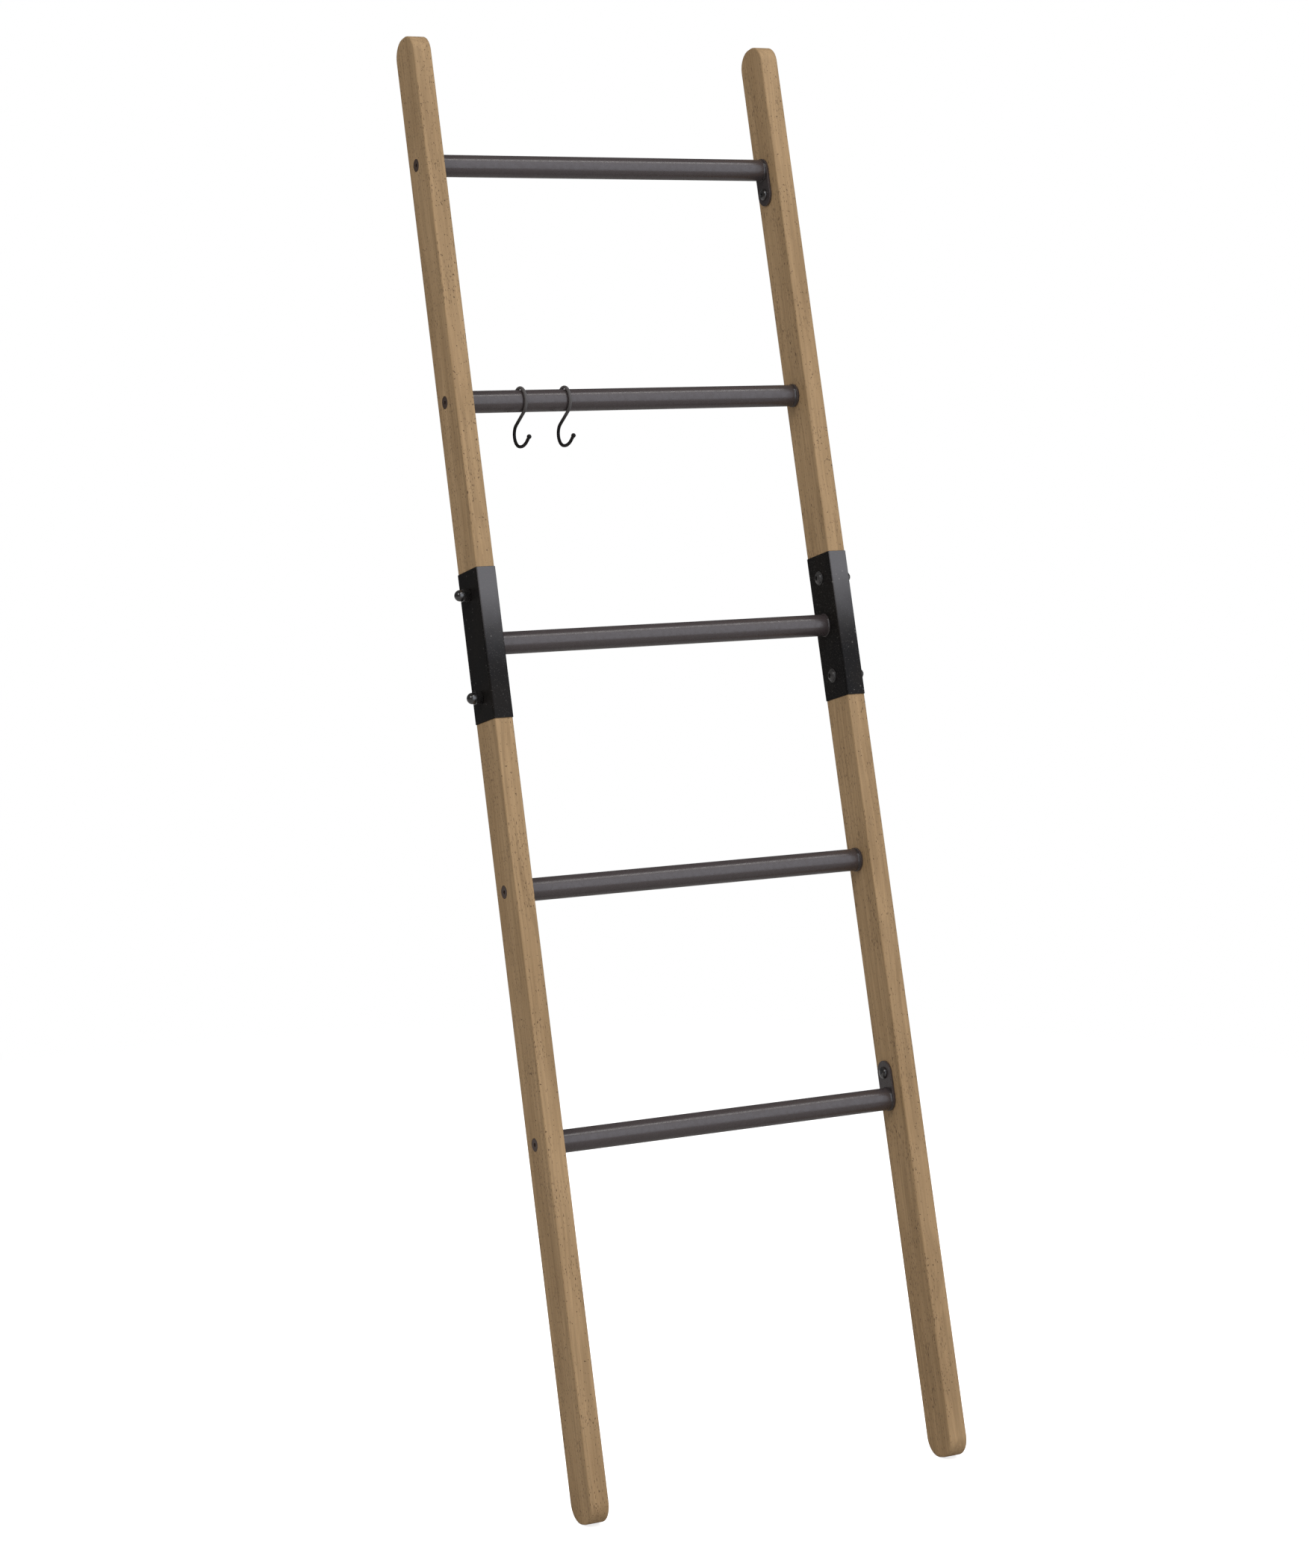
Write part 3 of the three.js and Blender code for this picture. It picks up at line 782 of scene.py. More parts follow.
@dataclass(frozen=True)
class DarkEnamel:
    """Black enamel for fasteners.

    Attributes:
        base: Colour of the enamel.
        thin: Colour where it is thin or rubbed; on the rubbed rims it is partly a painted highlight.
        roughness: Roughness of the enamel.
        coat: Weight of a clear coat over it.
        gloss: Specular level under the coat.
    """

    base: Colour = (0.0075, 0.0068, 0.0068)
    thin: Colour = (0.040, 0.034, 0.032)
    roughness: float = 0.22
    coat: float = 1.0
    gloss: float = 0.8

    def material(self, name: str, effects: Effects) -> bpy.types.Material:
        """Makes the finish.

        Args:
            name: The material's name.
            effects: The shared node groups.

        Returns:
            The material.
        """
        material, tree, shader = blank_material(name)
        vector = tree.node("TexCoord").outputs["Object"]
        film = effects.handling.put(tree, vector, Scale=130)["Film"]
        peel = effects.hammered.put(tree, vector, Scale=1100)
        rub = effects.rub.put(tree, vector, Scale=350)["Rub"]
        base = tree.blend(tree.math("MULTIPLY", film, 0.35), opaque(self.base), opaque(self.thin))
        # Lightened rims: partly edge wear, partly a painted highlight ring on the domed heads.
        wear_and_sheen = tree.blend(tree.math("MULTIPLY", rub, 0.6), base, opaque(self.thin))
        link(tree, wear_and_sheen, shader, "Base Color")
        rough = tree.math("ADD", tree.math("MULTIPLY", film, 0.10), self.roughness)
        link(tree, rough, shader, "Roughness")
        relief = {"Height": peel["Height"], "Strength": 0.22, "Distance": 0.0001}
        link(tree, tree.node("Bump", relief).outputs[0], shader, "Normal")
        shader.inputs["Coat Weight"].default_value = self.coat
        shader.inputs["Coat Roughness"].default_value = 0.07
        shader.inputs["Specular IOR Level"].default_value = self.gloss
        return material


@dataclass(frozen=True)
class HookPaint:
    """Black satin paint on bent wire, with a painted sheen that greys the wire where it lies on the rung.

    Attributes:
        base: Colour of the paint.
        thin: Colour where it is thin.
        rubbed_and_sheen: Colour of the loop over the rung, a painted sheen.
        roughness: Roughness of the paint.
    """

    base: Colour = (0.0080, 0.0070, 0.0070)
    thin: Colour = (0.016, 0.0145, 0.0140)
    rubbed_and_sheen: Colour = (0.105, 0.098, 0.098)
    roughness: float = 0.40

    def material(self, name: str, effects: Effects, loop: float) -> bpy.types.Material:
        """Makes the finish.

        Args:
            name: The material's name.
            effects: The shared node groups.
            loop: Height of the rung's axis in the world, in metres.

        Returns:
            The material.
        """
        material, tree, shader = blank_material(name)
        vector = tree.node("TexCoord").outputs["Object"]
        height = tree.node("SeparateXYZ", {0: vector}).outputs["Z"]
        film = effects.handling.put(tree, vector, Scale=150)["Film"]
        peel = effects.hammered.put(tree, vector, Scale=1300)
        uneven = tree.math("MULTIPLY", tree.noise(vector, 320, detail=2), 0.008)
        # Painted sheen: the wire is greyed up to the rung's axis, a painted reflection on the upper loop.
        wear_and_sheen = tree.between(tree.math("ADD", height, uneven), loop - 0.026, loop - 0.002)
        base = tree.blend(tree.math("MULTIPLY", film, 0.6), opaque(self.base), opaque(self.thin))
        link(tree, tree.blend(wear_and_sheen, base, opaque(self.rubbed_and_sheen)), shader, "Base Color")
        rough = tree.math("ADD", tree.math("MULTIPLY", film, 0.08), self.roughness)
        link(tree, rough, shader, "Roughness")
        relief = {"Height": peel["Height"], "Strength": 0.25, "Distance": 0.0001}
        link(tree, tree.node("Bump", relief).outputs[0], shader, "Normal")
        shader.inputs["Specular IOR Level"].default_value = 0.18
        return material


@dataclass(frozen=True)
class TurnedSteel:
    """Plain steel with fine rings from the lathe.

    Attributes:
        bright: Colour of the ridges.
        dull: Colour of the grooves.
        roughness: Roughness of the steel.
    """

    bright: Colour = (0.55, 0.54, 0.52)
    dull: Colour = (0.36, 0.355, 0.35)
    roughness: float = 0.34

    def material(self, name: str, effects: Effects) -> bpy.types.Material:
        """Makes the finish.

        Args:
            name: The material's name.
            effects: The shared node groups.

        Returns:
            The material.
        """
        material, tree, shader = blank_material(name)
        vector = tree.node("TexCoord").outputs["Object"]
        rings = tree.noise(tree.stretched(vector, (5200, 60, 60)), detail=2)
        film = effects.handling.put(tree, vector, Scale=160)["Film"]
        base = tree.blend(rings, opaque(self.dull), opaque(self.bright))
        wear_and_sheen = tree.blend(tree.math("MULTIPLY", film, 0.3), base, opaque(self.dull))
        link(tree, wear_and_sheen, shader, "Base Color")
        rough = tree.math("ADD", tree.math("MULTIPLY", rings, 0.14), self.roughness - 0.07)
        link(tree, rough, shader, "Roughness")
        relief = {"Height": rings, "Strength": 0.25, "Distance": 0.00005}
        link(tree, tree.node("Bump", relief).outputs[0], shader, "Normal")
        shader.inputs["Metallic"].default_value = 1.0
        return material


# ---- Rails --------------------------------------------------------------------------------------


@dataclass
class Rails:
    """Four rail halves with rounded ends, tenons and bores, in millimetres."""

    axes: LadderAxes
    effects: Effects
    wood: StainedWood = field(default_factory=StainedWood)
    width: float = 22.4
    depth: float = 50.0
    end_radius: float = 22.0
    edge_radius: float = 1.5
    tenon_inset: float = 0.8
    bolt_bore: float = 3.3
    bolt_mouth: float = 7.5
    bolt_rim: float = 0.5
    sleeve_bore: float = 4.3
    screw_bore: float = 2.8
    screw_end: float = 6.5

    def half_body(self, shoulder: float, end: float, tenon: float) -> BMesh:
        """One half that points up, without its bores.

        Args:
            shoulder: Height where it meets the sleeve.
            end: Height of its rounded end.
            tenon: Height of the tenon's end.

        Returns:
            The half.
        """
        length = end - shoulder
        bm = block((self.width, self.depth, length), (0, 0, shoulder + length / 2))
        across = [e for e in bm.edges if self._is_end_corner(e, end)]
        round_over(bm, across, self.end_radius, 14)
        bmesh.ops.remove_doubles(bm, verts=bm.verts, dist=1e-4)
        outline = [e for e in bm.edges if self._is_outline(e, shoulder)]
        round_over(bm, outline, self.edge_radius, 4)
        base = max(
            (f for f in bm.faces if abs(f.calc_center_median().z - shoulder) < 0.01),
            key=lambda f: f.calc_area(),
        )
        bmesh.ops.inset_region(bm, faces=[base], thickness=self.tenon_inset, use_even_offset=True)
        grown = bmesh.ops.extrude_discrete_faces(bm, faces=[base])["faces"]
        verts = list({v for f in grown for v in f.verts})
        bmesh.ops.translate(bm, vec=(0, 0, tenon - shoulder), verts=verts)
        return clean(bm)

    def _is_end_corner(self, edge: BMEdge, end: float) -> bool:
        """Whether an edge runs across the rail at its end."""
        a, b = (v.co for v in edge.verts)
        return min(a.z, b.z) > end - 0.01 and abs(a.y - b.y) < 0.01

    def _is_outline(self, edge: BMEdge, shoulder: float) -> bool:
        """Whether an edge bounds a broad side of the rail, away from the shoulder."""
        a, b = (v.co for v in edge.verts)
        on_side = abs(a.x - b.x) < 0.01 and abs(abs(a.x) - self.width / 2) < 0.01
        return on_side and max(a.z, b.z) > shoulder + 0.01 and len(edge.link_faces) == 2

    def bolt_tool(self, side: Side, y: float, z: float) -> BMesh:
        """A countersunk bore from the outside face."""
        face = self.width / 2
        rim = face - self.bolt_rim
        seat = rim - (self.bolt_mouth - self.bolt_bore)
        profile = [
            (-self.width, 0), (-self.width, self.bolt_bore), (seat, self.bolt_bore),
            (rim, self.bolt_mouth), (self.width, self.bolt_mouth), (self.width, 0),
        ]
        return self._aimed(turned(profile, 40), side, y, z)

    def plain_tool(self, side: Side, radius: float, end: float, y: float, z: float) -> BMesh:
        """A plain bore from the inside face to x = end."""
        profile = [(-self.width, 0), (-self.width, radius), (end, radius), (end, 0)]
        return self._aimed(turned(profile, BORE_SIDES), side, y, z)

    def _aimed(self, bm: BMesh, side: Side, y: float, z: float) -> BMesh:
        """Turns a tool to the rail's outside and puts it in its place."""
        turn = Matrix.Rotation(0 if side is Side.RIGHT else math.pi, 4, "Z")
        place = Matrix.Translation((0, y, z)) @ turn
        bmesh.ops.transform(bm, matrix=place, verts=bm.verts)
        return bm

    def half(self, side: Side, half: Half) -> bpy.types.Object:
        """Builds one half from its node's box and the fittings that go through it.

        Args:
            side: The rail.
            half: The half of the rail.

        Returns:
            The finished piece.
        """
        name = f"{side.word}_rail_{half.word}"
        low, high = self.axes.box(name)
        sleeve_low, sleeve_high = self.axes.box(f"{side.word}_sleeve")
        if half is Half.UPPER:
            shoulder, end, tenon = sleeve_high.z + GAP, high.z, low.z
        else:
            shoulder, end, tenon = -sleeve_low.z + GAP, -low.z, -high.z
        bm = self.half_body(shoulder, end, tenon)
        if half is Half.LOWER:
            over = Matrix.Rotation(math.pi, 3, "X")
            bmesh.ops.rotate(bm, cent=(0, 0, 0), matrix=over, verts=bm.verts)
        tools = []
        numbers = UPPER_RUNGS if half is Half.UPPER else LOWER_RUNGS
        for number in numbers:
            spot = self.axes.middle(f"rung_{number}")
            tools.append(self.bolt_tool(side, spot.y, spot.z))
        outer = TAB_RUNGS[0] if half is Half.UPPER else TAB_RUNGS[1]
        screw = self.axes.middle(f"rung_{outer}_{side.word}_screw")
        tools.append(self.plain_tool(side, self.screw_bore, self.screw_end, screw.y, screw.z))
        bolt = self.axes.middle(f"{side.word}_sleeve_bolt_{half.word}")
        tools.append(self.plain_tool(side, self.sleeve_bore, self.width, bolt.y, bolt.z))
        bm = combined(bm, tools)
        mark_edges(bm)
        place = self.axes.to_world @ Matrix.Translation(((low.x + high.x) / 2, 0, 0))
        offset = (0.31 * side.value, 0.17 * half.value, 0.73 * side.value - 0.29 * half.value)
        material = self.wood.material(f"stained_wood_{name}", self.effects, self.axes.lean, offset)
        return finished(bm, name, place, material)

    def build(self) -> List[bpy.types.Object]:
        """Builds the four halves."""
        return [self.half(side, half) for side in Side for half in Half]


def mark_broad_sides(bm: BMesh, name: str, amount: float) -> None:
    """Gives the faces that look along X an amount in a named face attribute."""
    layer = bm.faces.layers.float.new(name)
    for face in bm.faces:
        face[layer] = amount if abs(face.normal.x) > 0.95 else 0.0


def mark_edges(bm: BMesh) -> None:
    """Marks the faces that lean both to a side and away from it, for rubbed edges."""
    layer = bm.faces.layers.float.new("rub")
    for face in bm.faces:
        face[layer] = 1.0 if 0.08 < abs(face.normal.x) < 0.92 else 0.0


# ---- Sleeves ------------------------------------------------------------------------------------


@dataclass
class Sleeves:
    """Rectangular steel tubes over the joints, in millimetres."""

    axes: LadderAxes
    material: bpy.types.Material
    corner: float = 2.5
    wall: float = 1.5
    rim: float = 0.25
    bore: float = 4.3
    bore_reach: float = 30.0

    def sleeve(self, side: Side) -> bpy.types.Object:
        """Builds the sleeve of one rail.

        Args:
            side: The rail.

        Returns:
            The finished piece.
        """
        name = f"{side.word}_sleeve"
        low, high = self.axes.box(name)
        size = high - low
        bm = block(tuple(size))
        ends = [f for f in bm.faces if abs(f.normal.z) > 0.9]
        bmesh.ops.delete(bm, geom=ends, context="FACES_ONLY")
        upright = [e for e in bm.edges if abs(e.verts[0].co.z - e.verts[1].co.z) > 1]
        round_over(bm, upright, self.corner, 6)
        bmesh.ops.recalc_face_normals(bm, faces=bm.faces)
        outside = size.x / 2
        bmesh.ops.solidify(bm, geom=list(bm.faces), thickness=self.wall)
        if max(v.co.x for v in bm.verts) > outside + 0.01:
            grown = 2 * self.wall
            scale = (1 - grown / (size.x + grown), 1 - grown / (size.y + grown), 1)
            bmesh.ops.scale(bm, vec=scale, verts=bm.verts)
        round_over(bm, sharp_edges(bm, 60), self.rim, 2)
        tools = []
        for half in Half:
            spot = self.axes.middle(f"{side.word}_sleeve_bolt_{half.word}")
            tool = drill(self.bore, self.bore_reach)
            bmesh.ops.translate(tool, vec=(0, spot.y, spot.z), verts=tool.verts)
            tools.append(tool)
        bm = combined(bm, tools)
        layer = bm.faces.layers.float.new("front")
        for face in bm.faces:
            face[layer] = 1.0 if face.normal.y < -0.7 else 0.0
        middle = (low + high) / 2
        place = self.axes.to_world @ Matrix.Translation(middle)
        return finished(bm, name, place, self.material)

    def build(self) -> List[bpy.types.Object]:
        """Builds both sleeves."""
        return [self.sleeve(side) for side in Side]


# ---- Rungs --------------------------------------------------------------------------------------


@dataclass
class Rungs:
    """Steel tubes with their welds, end plates and tabs, in millimetres."""

    axes: LadderAxes
    material: bpy.types.Material
    radius: float = 12.7
    wall: float = 1.5
    plate_weld: Point = (2.6, 0.95)
    sleeve_weld: Point = (2.2, 0.9)
    plate_radius: float = 13.7
    plate_edge: float = 0.45
    bolt_hole: float = 3.3
    screw_hole: float = 2.8
    hole_reach: float = 9.0
    sides: int = 96
    # Painted shade over the welds: how dark at each joint, and how far along the tube it reaches.
    plate_weld_shade: float = 0.75
    sleeve_weld_shade: float = 0.3
    weld_shade_reach: float = 1.6

    def tube(self, number: int) -> bpy.types.Object:
        """Builds one tube with a fillet weld at each end.

        Args:
            number: The rung, counted from the top.

        Returns:
            The finished piece.
        """
        name = f"rung_{number}"
        low, high = self.axes.box(name)
        half = (high.x - low.x) / 2
        on_sleeve = number == MIDDLE_RUNG
        along, out = self.sleeve_weld if on_sleeve else self.plate_weld
        weld_and_shade = fillet(-half, self.radius, along, out, 8)
        far_weld = [(-x, radius) for x, radius in reversed(weld_and_shade)]
        inner = self.radius - self.wall
        profile = [(-half, inner), *weld_and_shade, *far_weld, (half, inner)]
        bm = turned(profile, self.sides, closed=True)
        self.ripple(bm, half, along)
        # Painted shade: outside faces near each end are darkened towards the joint with the plate or sleeve.
        tone = self.sleeve_weld_shade if on_sleeve else self.plate_weld_shade
        layer = bm.faces.layers.float.new("weld_and_shade")
        for face in bm.faces:
            spot = face.calc_center_median()
            near = max(0.0, 1 - (half - abs(spot.x)) / (self.weld_shade_reach * along))
            face[layer] = tone * near if self._is_outside(spot) else 0.0
        place = self.axes.to_world @ Matrix.Translation(self.axes.middle(name))
        return finished(bm, name, place, self.material)

    def _is_outside(self, spot: Vector) -> bool:
        """Whether a point of a tube is on its outside."""
        return Vector(spot.yz).length > self.radius - self.wall / 3

    def ripple(self, bm: BMesh, half: float, leg: float) -> None:
        """Gives a weld the small waves of its bead.

        Args:
            bm: The tube's mesh.
            half: Half the tube's length.
            leg: The weld's leg.
        """
        for vert in bm.verts:
            along = half - abs(vert.co.x)
            if 0.01 < along < leg - 0.01 and self._is_outside(vert.co):
                angle = math.atan2(vert.co.z, vert.co.y)
                wave = math.sin(19 * angle) + 0.6 * math.sin(7 * angle + 1.3)
                bulk = math.sin(math.pi * along / leg)
                grow = 1 + 0.011 * leg * bulk * (0.7 + 0.5 * wave) / 2.6
                vert.co.y *= grow
                vert.co.z *= grow

    def plate(self, number: int, side: Side) -> bpy.types.Object:
        """Builds a round plate between a tube and the wood.

        Args:
            number: The rung.
            side: The rail.

        Returns:
            The finished piece.
        """
        name = f"rung_{number}_{side.word}_plate"
        low, high = self.axes.box(name)
        thick = (high.x - low.x) / 2
        profile = [
            (-thick, self.bolt_hole), (-thick, self.plate_radius),
            (thick, self.plate_radius), (thick, self.bolt_hole),
        ]
        bm = turned(profile, self.sides, closed=True)
        round_over(bm, sharp_edges(bm, 60), self.plate_edge, 3)
        mark_edges(bm)
        place = self.axes.to_world @ Matrix.Translation((low + high) / 2)
        return finished(bm, name, place, self.material)

    def tab(self, number: int, side: Side) -> bpy.types.Object:
        """Builds a long plate that reaches from a rung's axis to its wood screw.

        Args:
            number: The rung.
            side: The rail.

        Returns:
            The finished piece.
        """
        name = f"rung_{number}_{side.word}_tab"
        low, high = self.axes.box(name)
        middle = (low + high) / 2
        thick = high.x - low.x
        rung = self.axes.middle(f"rung_{number}").z - middle.z
        screw = self.axes.middle(f"rung_{number}_{side.word}_screw").z - middle.z
        bm = bmesh.new()
        for height in (rung, screw):
            for x in (-thick / 2, thick / 2):
                spot = Matrix.Translation((x, 0, height)) @ Matrix.Rotation(math.pi / 2, 4, "Y")
                bmesh.ops.create_circle(bm, segments=64, radius=self.plate_radius, matrix=spot)
        hull = bmesh.ops.convex_hull(bm, input=list(bm.verts))
        inside = [v for v in hull["geom_interior"] if isinstance(v, bmesh.types.BMVert)]
        bmesh.ops.delete(bm, geom=inside, context="VERTS")
        bmesh.ops.dissolve_limit(
            bm, angle_limit=math.radians(1), verts=list(bm.verts), edges=list(bm.edges),
        )
        clean(bm)
        round_over(bm, sharp_edges(bm, 60), self.plate_edge, 3)
        tools = []
        for radius, height in ((self.bolt_hole, rung), (self.screw_hole, screw)):
            tool = drill(radius, self.hole_reach)
            bmesh.ops.translate(tool, vec=(0, 0, height), verts=tool.verts)
            tools.append(tool)
        bm = combined(bm, tools)
        mark_edges(bm)
        # Painted shade: the tab's broad sides are darkened through the welds' face attribute.
        mark_broad_sides(bm, "weld_and_shade", 0.45)
        place = self.axes.to_world @ Matrix.Translation(middle)
        return finished(bm, name, place, self.material)

    def build(self) -> List[bpy.types.Object]:
        """Builds the five tubes and their end pieces."""
        made = [self.tube(number) for number in RUNGS]
        for side in Side:
            made += [self.plate(number, side) for number in PLATE_RUNGS]
            made += [self.tab(number, side) for number in TAB_RUNGS]
        return made


# ---- Fasteners ----------------------------------------------------------------------------------


@dataclass
class Fasteners:
    """Bolts, cap nuts and screws, in millimetres, each drawn with its X to the outside."""

    axes: LadderAxes
    enamel: bpy.types.Material
    bronze: bpy.types.Material
    grey: bpy.types.Material
    sides: int = 48

    def spot(self, node: str, side: Side) -> Matrix:
        """The place of a fitting whose outer end, at x = 0, is its node's outer end.

        Args:
            node: The node's name.
            side: The rail.

        Returns:
            The matrix into the world.
        """
        low, high = self.axes.box(node)
        far = high.x if side is Side.RIGHT else -low.x
        middle = (low + high) / 2
        return self.axes.outward(side, far, middle.y, middle.z)

    def length(self, node: str) -> float:
        """A node's length along X."""
        low, high = self.axes.box(node)
        return high.x - low.x

    def put(
        self, bm: BMesh, node: str, side: Side, material: bpy.types.Material,
    ) -> bpy.types.Object:
        """Finishes a fitting, whose outer end is at x = 0, in its place."""
        mark_edges(bm)
        return finished(bm, node, self.spot(node, side), material, smooth=50)

    def countersunk_bolt(self, number: int, side: Side) -> bpy.types.Object:
        """Builds a flush bolt with a hexagon socket, seen on the rail's outside.

        Args:
            number: The rung that it holds.
            side: The rail.

        Returns:
            The finished piece.
        """
        node = f"rung_{number}_{side.word}_bolt"
        tail, shank, head, rim, edge = -self.length(node), 3.0, 7.2, 0.5, 0.25
        profile = [
            (tail, 0), (tail, shank - 0.5), (tail + 0.5, shank), (shank - head - rim, shank),
            (-rim, head), (-edge, head), *arc((-edge, head - edge), edge, 90, 0, 3)[1:], (0, 0),
        ]
        bm = turned(profile, self.sides)
        mouth = turned([(-0.35, 0), (-0.35, 2.1), (0.4, 2.95), (0.4, 0)], self.sides)
        return self.put(combined(bm, [hexagon(4, -2.4, 2), mouth]), node, side, self.bronze)

    def tab_screw(self, number: int, side: Side) -> bpy.types.Object:
        """Builds a pan-head wood screw with a cross recess, driven from the inside.

        Args:
            number: The rung whose tab it holds.
            side: The rail.

        Returns:
            The finished piece.
        """
        node = f"rung_{number}_{side.word}_screw"
        crown, height, head, shank = -self.length(node), 4.0, 7.0, 2.5
        seat = crown + height
        rim = 0.7
        cap = list(reversed(dome(seat - rim, crown, head - 0.1, 12)))
        edge = arc((seat - 0.35, head - 0.35), 0.35, 90, 0, 3)
        profile = [*cap, (seat - 0.35, head), *edge[1:-1], (seat, head - 0.5), (seat, shank)]
        profile += [(-5, shank), (0, 0)]
        bm = turned(profile, self.sides)
        tools = []
        for size in ((4, 7.0, 1.6), (4, 1.6, 7.0)):
            slot = block(size, (crown, 0, 0))
            deep = [v for v in slot.verts if v.co.x > crown]
            bmesh.ops.scale(slot, vec=(1, 0.55, 0.55), verts=deep)
            tools.append(slot)
        bm = combined(bm, tools)
        return self.put(bm, node, side, self.enamel)

    def button_bolt(self, side: Side, half: Half) -> bpy.types.Object:
        """Builds a flanged button-head bolt with a hexagon socket, seen on the sleeve's inside.

        Args:
            side: The rail.
            half: Which of its two sleeve bolts.

        Returns:
            The finished piece.
        """
        node = f"{side.word}_sleeve_bolt_{half.word}"
        crown, height, flange, cap, radius, shank = -self.length(node), 4.4, 1.1, 7.0, 8.2, 4.0
        seat = crown + height
        top = seat - flange
        flat = 3.4
        curve = [(x, r) for x, r in reversed(dome(top, crown, cap, 14)) if r > flat]
        profile = [
            (crown, 0), (crown, flat - 0.3), *curve, (top, cap + 0.15), (top, radius - 0.3),
            (top + 0.3, radius), (seat - 0.2, radius), (seat, radius - 0.2), (seat, shank),
            (-0.6, shank), (0, shank - 0.6), (0, 0),
        ]
        bm = turned(profile, self.sides)
        key = hexagon(5, crown - 2.6, crown + 2.6)
        return self.put(combined(bm, [key]), node, side, self.grey)

    def cap_nut(self, side: Side, half: Half) -> bpy.types.Object:
        """Builds a cap nut: a chamfered hexagon, a neck and a round cap.

        Args:
            side: The rail.
            half: Which of its two sleeve bolts.

        Returns:
            The finished piece.
        """
        node = f"{side.word}_sleeve_nut_{half.word}"
        flats, base, cap, bore, depth = 14.0, 8.0, 6.5, 4.3, 11.5
        tail = -self.length(node)
        top = tail + base
        points = flats / math.sqrt(3)
        limit = [
            (tail, 0), (tail, flats / 2 - 0.1), (tail + 0.65, points + 0.02),
            (top - 1.0, points + 0.02), (top, flats / 2 - 0.15), (top, 0),
        ]
        body = combined(hexagon(flats, tail, top), [turned(limit, 96)], Boolean.COMMON)
        neck = [(top - 2, 0), (top - 2, cap), *dome(-cap, 0, cap, 14)]
        whole = combined(body, [turned(neck, self.sides)], Boolean.JOIN)
        mouth, floor = tail - 1, tail + depth
        thread = turned([(mouth, 0), (mouth, bore), (floor, bore), (floor, 0)], BORE_SIDES)
        return self.put(combined(whole, [thread]), node, side, self.enamel)

    def build(self) -> List[bpy.types.Object]:
        """Builds every fastener."""
        made = []
        for side in Side:
            made += [self.countersunk_bolt(n, side) for n in (*UPPER_RUNGS, *LOWER_RUNGS)]
            made += [self.tab_screw(number, side) for number in TAB_RUNGS]
            made += [self.button_bolt(side, half) for half in Half]
            made += [self.cap_nut(side, half) for half in Half]
        return made


# ---- Hooks --------------------------------------------------------------------------------------


